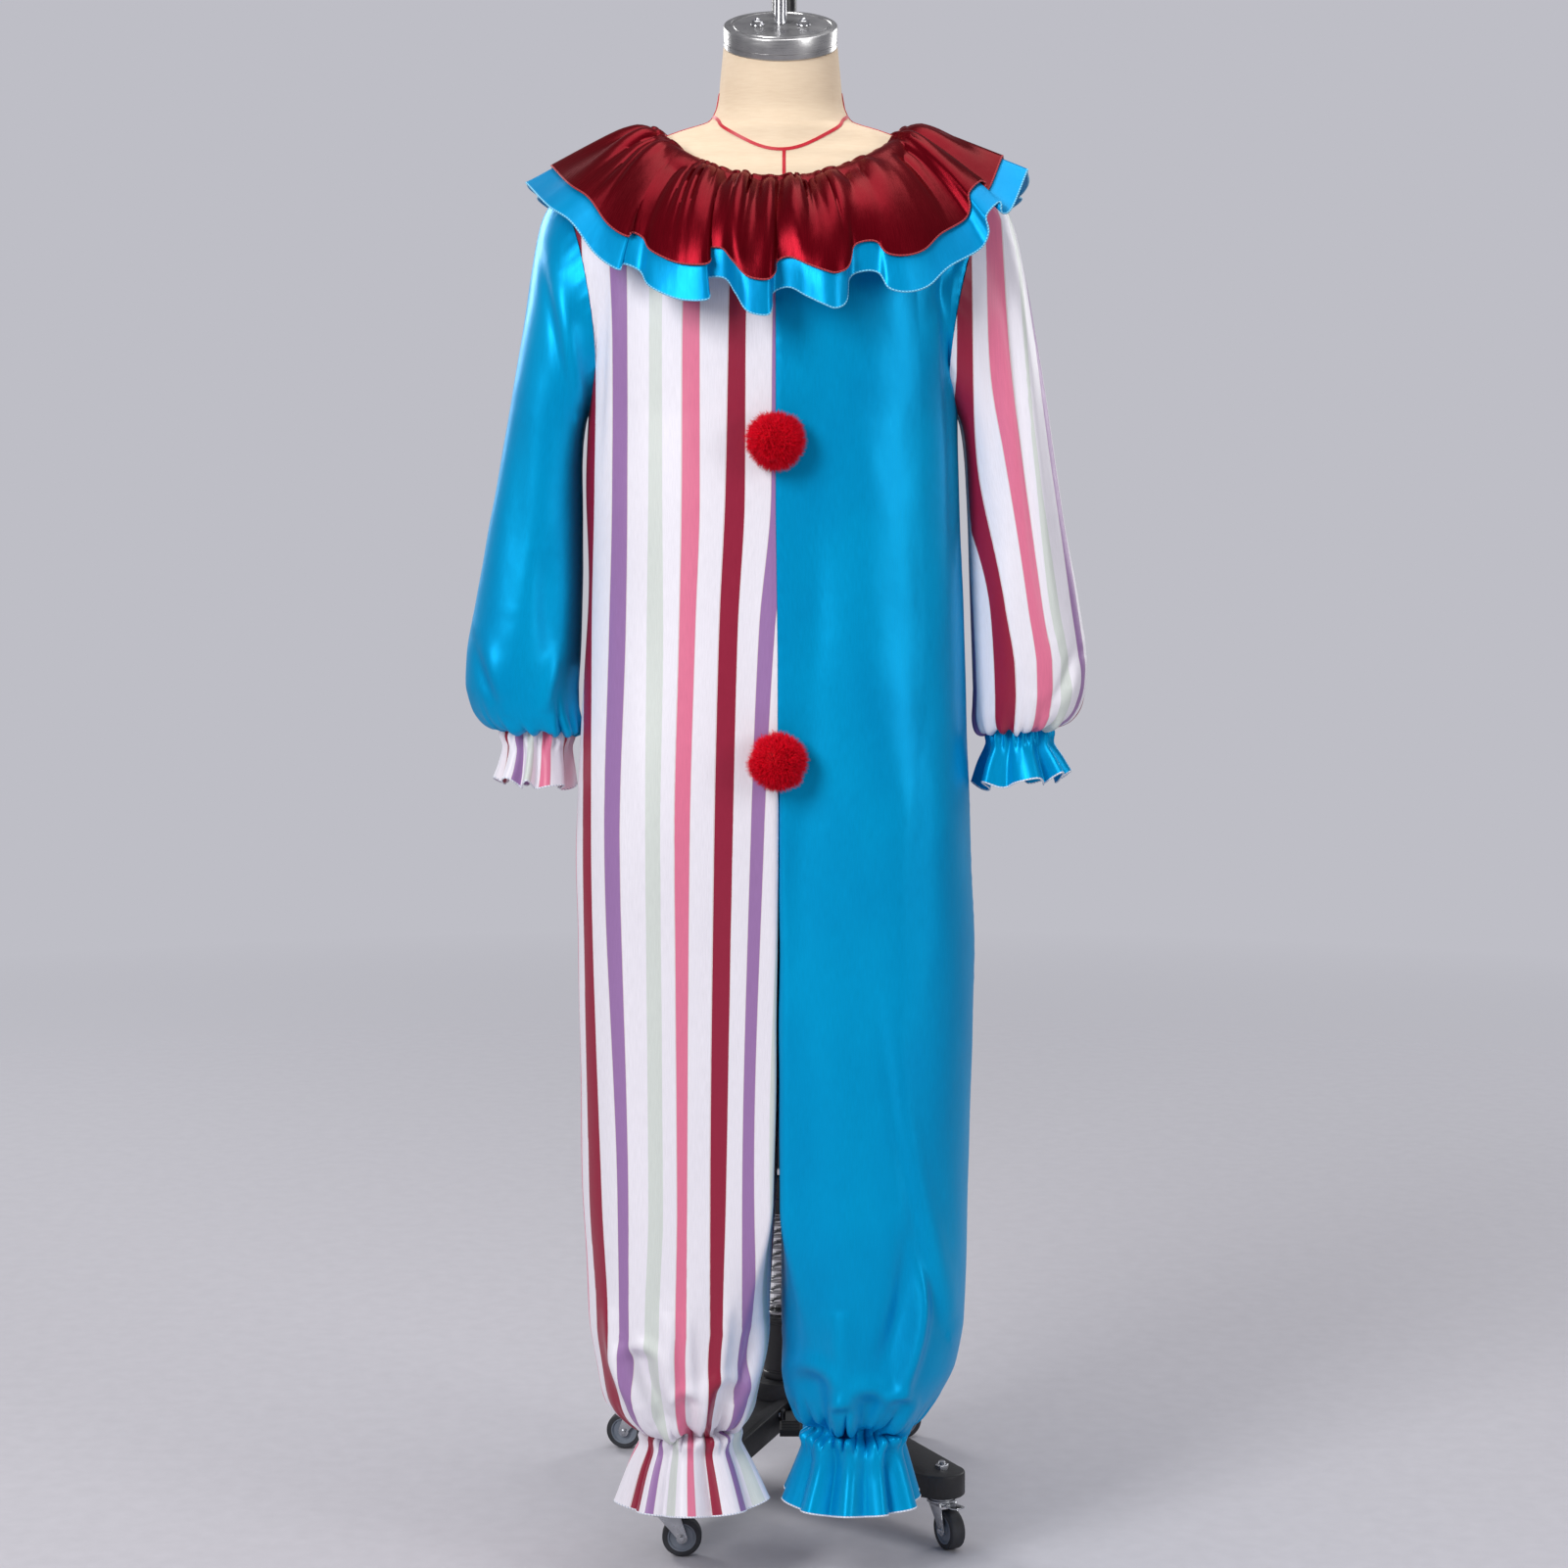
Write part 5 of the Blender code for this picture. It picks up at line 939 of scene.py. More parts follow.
def cuff(name, side):
    turns, wheres = around(CUFF_COLUMNS), np.linspace(0, 1, CUFF_ROWS)
    grid = np.array([table_ring(name, side, where, turns, 1.0) for where in wheres])
    out = ring_out(grid)
    q, far = turns / TAU, wheres[:, None]
    tall, seed = CUFF_FOLDS[name]
    phase = CUFF_WAVES * q + 0.24 * np.sin(TAU * q * 2 + seed) + 0.10 * np.sin(TAU * q * 5 + 2 * seed)
    size = 1 + 0.30 * np.sin(TAU * q * 3 + seed)
    fold = np.cos(TAU * phase) + 0.14 * np.cos(TAU * 2 * phase + 0.9 + seed)
    pucker = np.cos(TAU * CUFF_GATHERS * q + 1.1 * np.sin(TAU * 2 * q + seed))
    push = tall * fold * size * (0.12 + 0.88 * far**0.8)
    push = push + (0.0016 + 0.0020 * pucker) * hump(far, 0.14, 0.12)
    push = push + 0.0014 * pucker * np.exp(-far / 0.25)
    grid = grid + out * push[..., None]
    grid[..., 2] += (0.0028 * np.cos(TAU * phase + 0.6) * size + 0.0030 * np.sin(turns)) * far**1.5
    closed = rejoined(grid)
    u = np.broadcast_to(walked(closed, 1)[-1] * 1.25, closed.shape[:2])
    return grid, ring_out(grid), np.stack([u, -walked(closed)], -1)


TUBE_SIDES = {"sleeve_blue": STRIPED, "sleeve_striped": BLUE, "cuff_striped": STRIPED, "cuff_blue": BLUE}
for name_, side_ in TUBE_SIDES.items():
    shape = sleeve if name_.startswith("sleeve") else cuff
    sewn(name_, name_.split("_")[1] + "_satin", shape(name_, side_))

# ---- collar ------------------------------------------------------------------------------------
COLLAR_COLUMNS = 528
BACK_CRESTS = [90, 101, 118, 138, 156, 172, 188, 207, 225, 242, 260, 270]
BACK_SIZES = [0.5, 1.0, 0.8, 1.15, 0.9, 1.1, 1.0, 0.8, 1.15, 0.9, 1.0, 0.5]
HEM_TURN = 89  # where the placed hem of the front ends, in degrees
COLLAR_MIDDLE = np.array([0.0, 0.0, 1.3])
ROOT_LIFT, COLLAR_ROOM = CLOTH + 0.0005, 0.0032
COLLAR_TUCKS, COLLAR_TUCK, COLLAR_FOLDS, COLLAR_FOLD = 50, 0.0034, 21, 0.0044  # counts and heights
CASING_HALF, CASING_HIGH, STITCH_DIP = 0.0048, 0.0022, 0.0008  # the elastic's casing
LAYERS_APART = 0.0024  # between the two ruffles, away from the neckline


def collar_turns():
    """Angles about the neck, even along the ruffle's edge."""
    turns = np.linspace(-180, 180, 721)
    angles = np.radians(turns)
    length = walked(np.stack([(NECK_HALF + 0.11) * np.sin(angles), 0.165 * np.cos(angles)], 1))
    return np.interp(np.arange(COLLAR_COLUMNS) / COLLAR_COLUMNS * length[-1], length, turns)


def collar_points(turns, down):
    """Points of the collar before its folds, and the direction away from the body there."""
    folded = np.abs((turns + 180) % 360 - 180)
    front = folded <= 90
    across = np.radians(np.where(front, folded, 180 - folded))
    chords = np.linspace(0, math.pi / 2, 7)
    root = np.zeros(turns.shape + (3,))
    side = np.where((turns % 360) < 180, 1, -1)
    seam_x = BODY.at("seam_x", NECK_SEAM_Z)
    for face, mask in ((FRONT, front), (BACK, ~front)):
        wide, deep, z = (np.interp(across, chords, line) for line in neckline(face, chords))
        part = np.stack([seam_x + (side * NECK_HALF - seam_x) * wide, face * deep, z], -1)
        root = np.where(mask[..., None], part, root)
    face = np.where(front, FRONT, BACK)
    radial = unit(np.stack([side * np.sin(across) * 0.9, face * np.cos(across), 0 * across], -1))
    start, end = np.radians(COLLAR.at("start", folded)), np.radians(COLLAR.at("end", folded))
    long = COLLAR.at("top_long", folded)
    straight = np.sin(np.radians(folded)) ** 2

    def slope_at(way):
        bend = (1 - straight) * np.minimum(way, 1.12) + straight * (1 - np.exp(-way / 0.12))
        return start + (end - start) * bend

    reach, fall = np.zeros(turns.shape), np.zeros(turns.shape)
    steps = 24
    for i in range(steps):
        slope = slope_at(down * (i + 0.5) / steps / long)
        reach += np.cos(slope) * down / steps
        fall += np.sin(slope) * down / steps
    slope = slope_at(down / long)
    point = root + radial * reach[..., None] - UP * fall[..., None]
    return point, radial * np.sin(slope)[..., None] + UP * np.cos(slope)[..., None]


def hem_shift(turns, base, away):
    """How far the folds carry each point of the blue hem from its smooth line."""
    ahead = np.abs(turns) <= 92
    x, z, forward = np.array(HEM).T
    y = np.interp(x, base[ahead, 0], base[ahead, 1]) - forward * np.clip(1 - (x / 0.29) ** 2, 0.2, 1)
    line = curve_through(np.stack([x, y, z], 1), 12 * len(HEM))
    shift = spaced(line, share((turns + HEM_TURN) / (2 * HEM_TURN)) * walked(line)[-1], 1) - base
    phase = np.interp(turns % 360, BACK_CRESTS, np.arange(len(BACK_CRESTS)))
    size = np.interp(phase, np.arange(len(BACK_SIZES)), BACK_SIZES)
    wave = (0.5 * gathered(phase) - 0.5 * np.cos(TAU * phase)) * size
    along = unit(heading(base, True))
    rear = away * (0.0125 * wave)[:, None] - along * (0.0060 * np.sin(TAU * phase) * size)[:, None]
    rear[:, 2] -= 0.0085 * wave
    past = eased((np.abs(turns) - HEM_TURN) / 14)[:, None]
    left, right = (shift[int(np.argmin(np.abs(turns - sign * HEM_TURN)))] for sign in (-1, 1))
    end = np.where((turns > 0)[:, None], right, left)
    return np.where((np.abs(turns) > HEM_TURN)[:, None], end * (1 - past) + rear * past, shift)


def tree_of(names):
    """The outer faces of some pieces of cloth, at half their detail, to lie on."""
    verts, faces = [], []
    for name in names:
        grid, out = grids[name]
        grid = (grid if grid.shape[1] % 2 else rejoined(grid))[::2, ::2]
        faces += (quads_of(grid, out)[0] + len(verts)).tolist()
        verts += grid.reshape(-1, 3).tolist()
    return BVHTree.FromPolygons(verts, faces)


def rested(spot, on_shoulder, down, below):
    """A point of the collar, lifted clear of the cloth below it."""
    if on_shoulder:  # beside the neckline, where only the height counts
        found, normal, _, _ = below.ray_cast(Vector(spot) + Vector((0, 0, 0.2)), Vector((0, 0, -1)))
        if found is not None and normal.z > 0.4:
            spot[2] = max(spot[2], found.z + COLLAR_ROOM * min(1.0, down / 0.006))
        return
    found, normal, _, distance = below.find_nearest(Vector(spot))
    signed = distance if (Vector(spot) - found).dot(normal) > 0 else -distance
    if signed < COLLAR_ROOM:
        spot += np.array(normal) * (COLLAR_ROOM - signed)


def collar_form(rows, extra, below):
    """The ruffle's grid: rows are shares of the top ruffle's length, extra shares of what the
    under one has beyond it."""
    turns = collar_turns()
    folded = np.abs((turns + 180) % 360 - 180)
    long, whole = COLLAR.at("top_long", folded), COLLAR.at("under_long", folded)
    downs = np.concatenate([np.outer(rows, long), long + np.outer(extra, whole - long)])
    point, away = collar_points(np.broadcast_to(turns, downs.shape), downs)
    point = point + hem_shift(turns, point[-1], away[-1]) * (downs / whole)[..., None] ** 0.9
    # small folds: the gathered casing at the neckline and the tucks that run down from it
    place = np.arange(COLLAR_COLUMNS) / COLLAR_COLUMNS

    def turning(times, start=0.0):
        return np.sin(TAU * times * place + start)

    tuck = gathered(COLLAR_TUCKS * place + 0.9 * turning(7, 0.7) + 0.5 * turning(13))
    size = 0.85 + 0.35 * turning(11, 1.1) * turning(5)
    fade = hump(downs, 0, 0.050 + 0.024 * turning(11) + 0.014 * turning(23))
    lift = COLLAR_TUCK * tuck * size * fade * np.clip(downs / 0.010, 0.18, 1)
    casing = share(1 - ((downs - CASING_HALF) / CASING_HALF) ** 2)
    lift = lift + CASING_HIGH * np.sqrt(casing) * (1 + 0.22 * tuck * size)
    lift = lift - STITCH_DIP * hump(downs, 0.0112, 0.0022)
    broad = turning(COLLAR_FOLDS, 2.6 * turning(4))
    lift = lift + COLLAR_FOLD * broad * share(downs / 0.022) * share(1.2 - downs / 0.12)
    point = point + away * (ROOT_LIFT + lift)[..., None]
    for r in range(1, point.shape[0]):
        for c in range(point.shape[1]):
            rested(point[r, c], folded[c] > 62 and downs[r, c] < 0.035, downs[r, c], below)
    return point, away


def collar_uv(grid):
    closed = rejoined(grid)
    down = walked(closed)
    return np.stack([np.broadcast_to(walked(closed[-1]), down.shape), -down], -1)


def collar_out(grid, away):
    out = facing_out(normals_of(grid, True), grid, COLLAR_MIDDLE)
    out[0] = away[0]
    return out


body_tree = tree_of([*PANELS, "sleeve_blue", "sleeve_striped"])
rows_top = np.concatenate([np.linspace(0, 0.11, 9), np.linspace(0.11, 1.0, 25)[1:]])
under, under_away = collar_form(rows_top, np.array([0.2, 0.4, 0.6, 0.8, 1.0]), body_tree)
under_out = collar_out(under, under_away)
apart = CLOTH + SEAM + (LAYERS_APART - SEAM) * np.minimum(1.0, rows_top * 3)[:, None, None]
away_ = under_out[: len(rows_top)].copy()
for _ in range(6):
    away_ = unit(away_ + np.roll(away_, 1, 1) + np.roll(away_, -1, 1))
leaning = np.clip(np.sum(away_ * under_out[: len(rows_top)], axis=-1, keepdims=True), 0.5, 1)
top_ = under[: len(rows_top)] + away_ * apart / leaning
sewn("collar_under", "blue_satin", (under, under_out, collar_uv(under)), True, "collar_blue")
sewn("collar_top", "burgundy_satin", (top_, collar_out(top_, under_away), collar_uv(top_)))


def overlock(name, material, closed=True, radius=0.0010):
    """The stitches over a piece's hem."""
    grid, out = grids[name]
    line = grid[-1] - out[-1] * CLOTH / 2
    add(name + "_overlock", cord_mesh(line, radius, closed), material)


overlock("collar_top", red_overlock)
overlock("collar_under", blue_overlock)
for name_ in ("cuff_striped", "cuff_blue"):
    overlock(name_, white_overlock)
for name_ in PANELS:
    overlock(name_, white_overlock, False, 0.0011)

# ---- pompoms -----------------------------------------------------------------------------------
fur = Nodes("red fur", Roughness=0.5, Sheen_Weight=0.15, Sheen_Roughness=0.5, Specular_IOR_Level=0.25,
            Sheen_Tint=(1.0, 0.1, 0.15), Specular_Tint=(1.0, 0.3, 0.3))
# painted shade and light: the fur's red runs darker towards the core and the strands' roots and lighter at
# their tips, following the shares that the pompoms keep in the pattern's V
fur_shade_stops = [(0.30, srgb(160, 0, 20)), (0.62, srgb(222, 0, 30)), (1.0, srgb(246, 12, 44))]
fur_painted_shade = fur.ramp(fur.pattern()[1], fur_shade_stops)
fur_patch = fur.span(fur.noise(fur.coordinates(), 90.0, 2.0), 0.3, 0.7, 0.90, 1.10)
fur.shade(Base_Color=fur.node("HueSaturation", Color=fur_painted_shade, Value=fur_patch))
POMPOM_R, STRANDS, STRAND_POINTS, STRAND_HALF = 0.031, 5700, 7, 0.00030
CORE_SHARE, ROOT_SHARE, KNEE_SHARE, TIP_SHARE = 0.70, 0.60, 0.84, 0.17  # of the pompom's radius


def pompom(name, z, seed):
    """A soft core and three-sided strands with a knee, from root to tip."""
    rng = np.random.default_rng(seed)
    middle_x, radius = float(BODY.at("seam_x", z)), POMPOM_R
    spots = [(middle_x + dx, -0.4, z + dz) for dx in (-0.009, 0.009) for dz in (-0.009, 0, 0.009)]
    seat = max(-body_tree.ray_cast(Vector(spot), Vector((0, 1, 0)))[0].y for spot in spots) + SEAM
    middle = np.array([middle_x, -(seat + radius * 0.48), z])
    bm = bmesh.new()
    bmesh.ops.create_icosphere(bm, subdivisions=4, radius=radius * CORE_SHARE)
    core = np.array([v.co for v in bm.verts]) * 1.12
    faces = [[v.index for v in f.verts] for f in bm.faces]
    bm.free()
    core *= (1 + 0.05 * ripple(core, 0.012, seed))[:, None]
    core += middle
    core[:, 1] = np.minimum(core[:, 1], -seat - 0.0002)
    ways = unit(rng.normal(size=(STRANDS * 2, 3)))
    ways = ways[ways[:, 1] < 0.42][:STRANDS]
    count = len(ways)
    bend = unit(ways + 0.42 * rng.normal(size=ways.shape) + np.array([0, 0, -0.12]))
    uneven = 0.07 * rng.normal(size=count).clip(-2, 1.6)
    long = radius * (1.0 + uneven + 0.05 * ripple(ways, 0.9, seed + 5))
    root = middle + ways * radius * ROOT_SHARE
    knee = middle + ways * (long * KNEE_SHARE)[:, None]
    tip = knee + bend * (long * TIP_SHARE)[:, None]
    for part in (knee, tip):
        part[:, 1] = np.minimum(part[:, 1], -seat - 0.0008)
    side = unit(np.cross(ways, rng.normal(size=ways.shape)))
    other = np.cross(ways, side)
    wide = (STRAND_HALF * rng.uniform(0.7, 1.3, count))[:, None]
    corners = [(math.cos(TAU * k / 3), math.sin(TAU * k / 3)) for k in range(3)]
    points = [
        spot + (side * across + other * up) * wide * scale
        for spot, scale in ((root, 1.3), (knee, 0.9)) for across, up in corners
    ]
    strands = np.stack(points + [tip], 1)
    first = np.arange(count)[:, None] * STRAND_POINTS + len(core)
    sides = [(k, (k + 1) % 3) for k in range(3)]
    faces += np.concatenate([first + np.array([[k, j, 3 + j, 3 + k]]) for k, j in sides]).tolist()
    faces += np.concatenate([first + np.array([[3 + k, 3 + j, 6]]) for k, j in sides]).tolist()
    # painted shade: each strand's colour share is lower at its root and knee than at its tip, and the
    # core's is lower still, so the fur is painted darker deep inside; the small per-strand spread is random
    # tone
    along = np.tile(np.array([0.35, 0.35, 0.35, 0.84, 0.84, 0.84, 1.0]), count)
    shade = along * np.repeat(rng.uniform(0.86, 1.0, count), STRAND_POINTS)
    shade = np.concatenate([np.full(len(core), 0.42), shade])
    mesh = mesh_from(
        np.concatenate([core, strands.reshape(-1, 3)]), faces, np.stack([np.zeros(len(shade)), shade], 1)
    )
    add(name + "_fur", mesh, fur.material, name)


pompom("pompom_upper", 1.243, 3)
pompom("pompom_lower", 0.915, 4)

# ---- dress form --------------------------------------------------------------------------------
linen = Nodes("linen", Roughness=0.86, Specular_IOR_Level=0.25, Sheen_Weight=0.12)
linen_at = linen.coordinates()
warp, weft = (
    linen.node("TexWave", "Fac", bands_direction=way, Vector=linen_at, Scale=480.0, Distortion=1.2)
    for way in "XZ"
)
weave = linen.math("MULTIPLY", linen.math("ADD", warp, weft), 0.5)
slub, patch = linen.noise(linen.coordinates((1, 1, 9)), 60.0, 4.0), linen.noise(linen_at, 14.0, 3.0)
tone = linen.math("ADD", linen.math("MULTIPLY", slub, 0.6), linen.math("MULTIPLY", patch, 0.4))
linen.shade(
    Base_Color=linen.ramp(tone, [(0.34, srgb(232, 208, 178)), (0.66, srgb(240, 219, 191))]),
    Normal=linen.bump(weave, 0.25, 0.0004, Normal=linen.bump(slub, 0.12, 0.0006)),
)
FORM_COLUMNS = 96


def form_grid():
    """The form's rings, with what the cloth hides drawn in a little."""
    spans = ((0.868, 1.50, 46), (1.50, 1.60, 44), (1.60, 1.650, 22))
    heights = np.concatenate([np.linspace(*span)[min(i, 1):] for i, span in enumerate(spans)])
    turn = TAU * np.arange(FORM_COLUMNS) / FORM_COLUMNS
    rows = []
    for z in heights:
        half, deep, y, lean, square = (FORM.at(k, z) for k in ("half", "deep", "y", "lean", "power"))
        shrink = 1 - 0.02 * np.clip((1.50 - z) / 0.02, 0, 1)
        hidden = 1 - 0.025 * np.clip((1.545 - z) / 0.012, 0, 1)
        x = half * shrink * power(np.cos(turn), 2 / square)
        ahead = deep * hidden * power(np.sin(turn), 2 / square)
        angle = math.radians(lean)
        rows.append(np.stack([x, y + ahead * math.cos(angle), z + ahead * math.sin(angle)], 1))
    return np.array(rows)


form_rows = form_grid()
form_points, form_faces = form_rows.reshape(-1, 3), tube_faces(len(form_rows), FORM_COLUMNS)
form_mesh = mesh_from(form_points, form_faces)
form_mesh.set_sharp_from_angle(angle=math.radians(60))
add("form_torso_cover", form_mesh, linen.material, "form_torso")
form_tree = BVHTree.FromPolygons(form_points.tolist(), form_faces)

tape = Nodes("red tape", Roughness=0.42, Sheen_Weight=0.3)
tape_fine = tape.noise(tape.coordinates(), 900.0, 2.0)
tape.shade(Base_Color=tape.ramp(tape_fine, [(0.3, srgb(176, 8, 30)), (0.7, srgb(214, 20, 48))]),
           Normal=tape.bump(tape_fine, 0.3, 0.0003))
TAPE_WIDE, TAPE_THICK, TAPE_SUNK = 0.0034, 0.0007, 0.0003
TAPE_FRONT_Z, TAPE_SIDE_Z, TAPE_BACK_Z, TAPE_LOW_Z = 1.5405, 1.577, 1.590, 1.47


def tape_strip(name, rays, closed=False):
    """A flat tape on the form, where rays (a start and a way) meet it."""
    hits = [form_tree.ray_cast(Vector(start), Vector(way))[:2] + (Vector(way),) for start, way in rays]
    hits = [(hit, -normal if normal.dot(way) > 0 else normal) for hit, normal, way in hits if normal]
    points = np.array([hit for hit, _ in hits])
    normals = unit(np.array([normal for _, normal in hits]))
    side = unit(np.cross(unit(heading(points, closed)), normals))
    edges = ((-side, -TAPE_SUNK), (-side, TAPE_THICK), (side, TAPE_THICK), (side, -TAPE_SUNK))
    rings = np.stack([points + way * TAPE_WIDE / 2 + normals * high for way, high in edges], 1)
    mesh = mesh_from(rings.reshape(-1, 3), tube_faces(len(points), 4, closed))
    mesh.set_sharp_from_angle(angle=math.radians(40))
    add(name, mesh, tape.material)


def neck_ray(turn):
    c = np.cos(turn)
    z = TAPE_SIDE_Z + ((TAPE_FRONT_Z if c > 0 else TAPE_BACK_Z) - TAPE_SIDE_Z) * c**2
    way = (math.sin(turn), -math.cos(turn), 0.0)
    return (way[0] * 0.3, way[1] * 0.3, z), (-way[0], -way[1], 0.0)


tape_strip("tape_neck", [neck_ray(turn) for turn in around(96)], True)
for name_, side_ in (("left", -1), ("right", 1)):
    down_ = [((side_ * x, 0.0005, 1.8), (0, 0, -1)) for x in np.linspace(0.064, 0.150, 30)]
    tape_strip("tape_shoulder_" + name_, down_)
for name_, face_, x_, high_ in (("front", FRONT, 0.0035, 1.5415), ("back", BACK, 0.0, 1.589)):
    inwards_ = [((x_, face_ * 0.4, z), (0, -face_, 0)) for z in np.linspace(high_, TAPE_LOW_Z, 40)]
    tape_strip("tape_" + name_, inwards_)


# ---- metal, paint and rubber -------------------------------------------------------------------
def metal(name, colour, deep, roughness, brushed, scale, strength):
    n = Nodes(name, Metallic=1.0)
    grain, smear = n.noise(n.coordinates(brushed), scale, 4.0), n.noise(n.coordinates(), 22.0, 3.0)
    n.shade(
        Base_Color=n.ramp(smear, [(0.32, srgb(*deep)), (0.6, srgb(*colour))]),
        Roughness=n.span(grain, 0.3, 0.7, roughness - 0.06, roughness + 0.10),
        Normal=n.bump(grain, strength, 0.0004),
    )
    return n.material


def painted(name, colour, worn, roughness, scale, strength):
    n = Nodes(name, Specular_IOR_Level=0.5)
    grain, patches = n.noise(n.coordinates(), scale, 4.0), n.noise(n.coordinates(), 34.0, 4.0)
    n.shade(
        Base_Color=n.ramp(patches, [(0.42, srgb(*colour)), (0.75, srgb(*worn))]),
        Roughness=n.span(patches, 0.3, 0.7, roughness - 0.06, roughness + 0.12),
        Normal=n.bump(grain, strength, 0.0006),
    )
    return n.material


EVEN = (1, 1, 1)
LOOKS = {  # by slot
    "aluminium": metal("brushed aluminium", (206, 205, 204), (176, 175, 175), 0.30, (1, 1, 40), 60, 0.06),
    "chrome": metal("chrome", (214, 214, 216), (186, 186, 190), 0.14, (1, 1, 0.3), 120.0, 0.02),
    "spring_steel": metal("spring steel", (168, 168, 170), (120, 120, 124), 0.30, EVEN, 220.0, 0.05),
    "zinc": metal("zinc plate", (200, 202, 206), (158, 160, 166), 0.28, EVEN, 120.0, 0.05),
    "cast_iron": painted("black cast iron", (26, 26, 28), (40, 40, 43), 0.46, 320.0, 0.35),
    "black_steel": painted("black paint", (22, 22, 24), (34, 34, 37), 0.32, 500.0, 0.06),
    "rubber": painted("black rubber", (24, 24, 25), (44, 44, 45), 0.74, 600.0, 0.25),
    "tyre": painted("dark tyre", (40, 41, 45), (66, 67, 72), 0.62, 420.0, 0.20),
}
hub_plastic = painted("grey wheel", (112, 120, 132), (140, 147, 158), 0.42, 380.0, 0.10)

# ---- stand -------------------------------------------------------------------------------------
CAP_THICK, CAP_LEAN, BOLT_SPREAD, CAP_Y, CAP_Z = 0.0225, math.radians(19.5), 0.024, -0.0015, 1.650
ARM_LONG, ARM_TAPER, ARM_END_TOP, ARM_END_BOTTOM = 0.250, 0.220, 0.085, 0.058
ARM_HUB_TOP, ARM_HUB_BOTTOM, ARM_HUB_HALF, ARM_END_HALF = 0.135, 0.104, 0.030, 0.026
ARM_TURNS = {"front_right": -45.0, "front_left": -121.5, "rear_right": 58.5, "rear_left": 135.0}
CASTER_TURNS = {"front_right": -62.0, "front_left": 0.0, "rear_right": 20.0, "rear_left": 170.0}
MAST_TOP, ROD_TOP, SOCKET_TOP, SPRING_TOP = 1.780, 1.748, 0.215, 0.338
TRAIL, WHEEL_R, WHEEL_HALF, WHEEL_GAP, FORK_LEG = 0.017, 0.022, 0.0085, 0.0008, 0.0020
HINGE_X, HINGE_Y, HINGE_Z = 0.0075, -0.0625, 0.1135  # the pedal's hinge, from the post
POST_AT, EAR_HALF = np.array([POST_X, POST_Y, 0.0]), np.array([0.003, 0.007, 0.007])
TUBE_R, ARCH_LOW, ARCH_HIGH = 0.0125, 0.035, 0.12  # the gooseneck: its arch starts above the mast


def profile(text, base=0.0):
    """Radii and heights of a turned shape, above a base."""
    return [(r, base + z) for r, z in numbers(text)]


def turned(outline, sides, closed=False):
    """Points and faces of a shape turned about Z, from its radii and heights."""
    angles = TAU * np.arange(sides) / sides
    points = [(r * math.cos(a), r * math.sin(a), z) for r, z in outline for a in angles]
    return points, tube_faces(len(outline), sides, closed)


def rotation(angle, axis):
    return Matrix.Rotation(angle, 4, axis)


def moved(part, by=(0, 0, 0), turn=None):
    points = np.array(part[0], float)
    if turn is not None:
        points = points @ np.array(turn.to_3x3()).T
    return (points + np.array(by)).tolist(), part[1]


def slab(outline, low, high):
    """An upright prism over an outline; heights may be numbers or functions of x."""
    count = len(outline)
    points = [(x, y, level(x) if callable(level) else level) for level in (low, high) for x, y in outline]
    faces = [list(range(count))[::-1], list(range(count, 2 * count))]
    faces += [[i, (i + 1) % count, count + (i + 1) % count, count + i] for i in range(count)]
    return points, faces


def box(low, high):
    (x, y, z), (far_x, far_y, far_z) = low, high
    return slab([(x, y), (far_x, y), (far_x, far_y), (x, far_y)], z, far_z)


def place(name, parts, slot, body="base", at=POST_AT, turn=(0, 0, 0), node=None, look=None, **rounding):
    """Adds one piece made of hard parts, for the CAD's node that its name starts with."""
    points, faces = [], []
    for some, theirs in parts:
        faces += [[i + len(points) for i in face] for face in theirs]
        points += [tuple(p) for p in some]
    mesh = finished(mesh_from(points, faces), 30, **rounding)
    node = name.rsplit("_", 1)[0] if node is None else node
    add(name, mesh, look or LOOKS[slot], node, body, at, turn)


def hex_bolt(radius, height, stud=0.0):
    """A washer, a hexagon head and the end of its thread."""
    washer, chamfer, pitch = 0.0010, 0.0007, 0.0008
    rim = [(0, 0), (radius * 1.2, 0), (radius * 1.25, 0.0003), (radius * 1.2, washer), (0, washer)]
    head = [(0, washer), (radius, washer), (radius, height - chamfer), (radius * 0.86, height), (0, height)]
    parts = [turned(rim, 32), turned(head, 6)]
    if stud:
        thread = [(0, height)]
        for i in range(int(stud / pitch)):
            low = height + pitch * i
            thread += [(radius * 0.50, low), (radius * 0.42, low + pitch / 2)]
        parts.append(turned(thread + [(0, height + stud)], 20))
    return parts


cap_out = np.array([0, -math.sin(CAP_LEAN), math.cos(CAP_LEAN)])
cap_seat = np.array([0, FORM_Y + CAP_Y, CAP_Z]) + cap_out * SEAM
cap_profile = profile(
    "0 0, .0583 0, .0595 .0008, .0595 .0058, .059 .0062, .0595 .0066, .0595 .0207, .059 .0219,"
    ".0577 .0225, .0535 .0225, .0528 .0213, .0495 .0213, .0488 .0225, 0 .0225"
)
leaning_ = (CAP_LEAN, 0, 0)
place("neck_cap_turned", [turned(cap_profile, 96)], "aluminium", "carriage", cap_seat, leaning_)
for name_, side_ in (("left", -1), ("right", 1)):
    bolt_at = cap_seat + cap_out * (CAP_THICK + SEAM) + np.array([side_ * BOLT_SPREAD, 0, 0])
    bolt = hex_bolt(0.0058, 0.0052, 0.0028)
    place("cap_bolt_" + name_ + "_head", bolt, "chrome", "carriage", bolt_at, leaning_)
rod_points, rod_faces = turned(profile(".0063 0, .0063 1.748"), 32)
rod_low = CAP_Z + (CAP_THICK + 2 * SEAM) / math.cos(CAP_LEAN) - CAP_Y * math.tan(CAP_LEAN)
rod_points = [(x, y, rod_low + y * math.tan(CAP_LEAN) if z == 0 else z) for x, y, z in rod_points]
place("hanger_rod_round", [(rod_points, rod_faces)], "chrome", "carriage", world_shift)
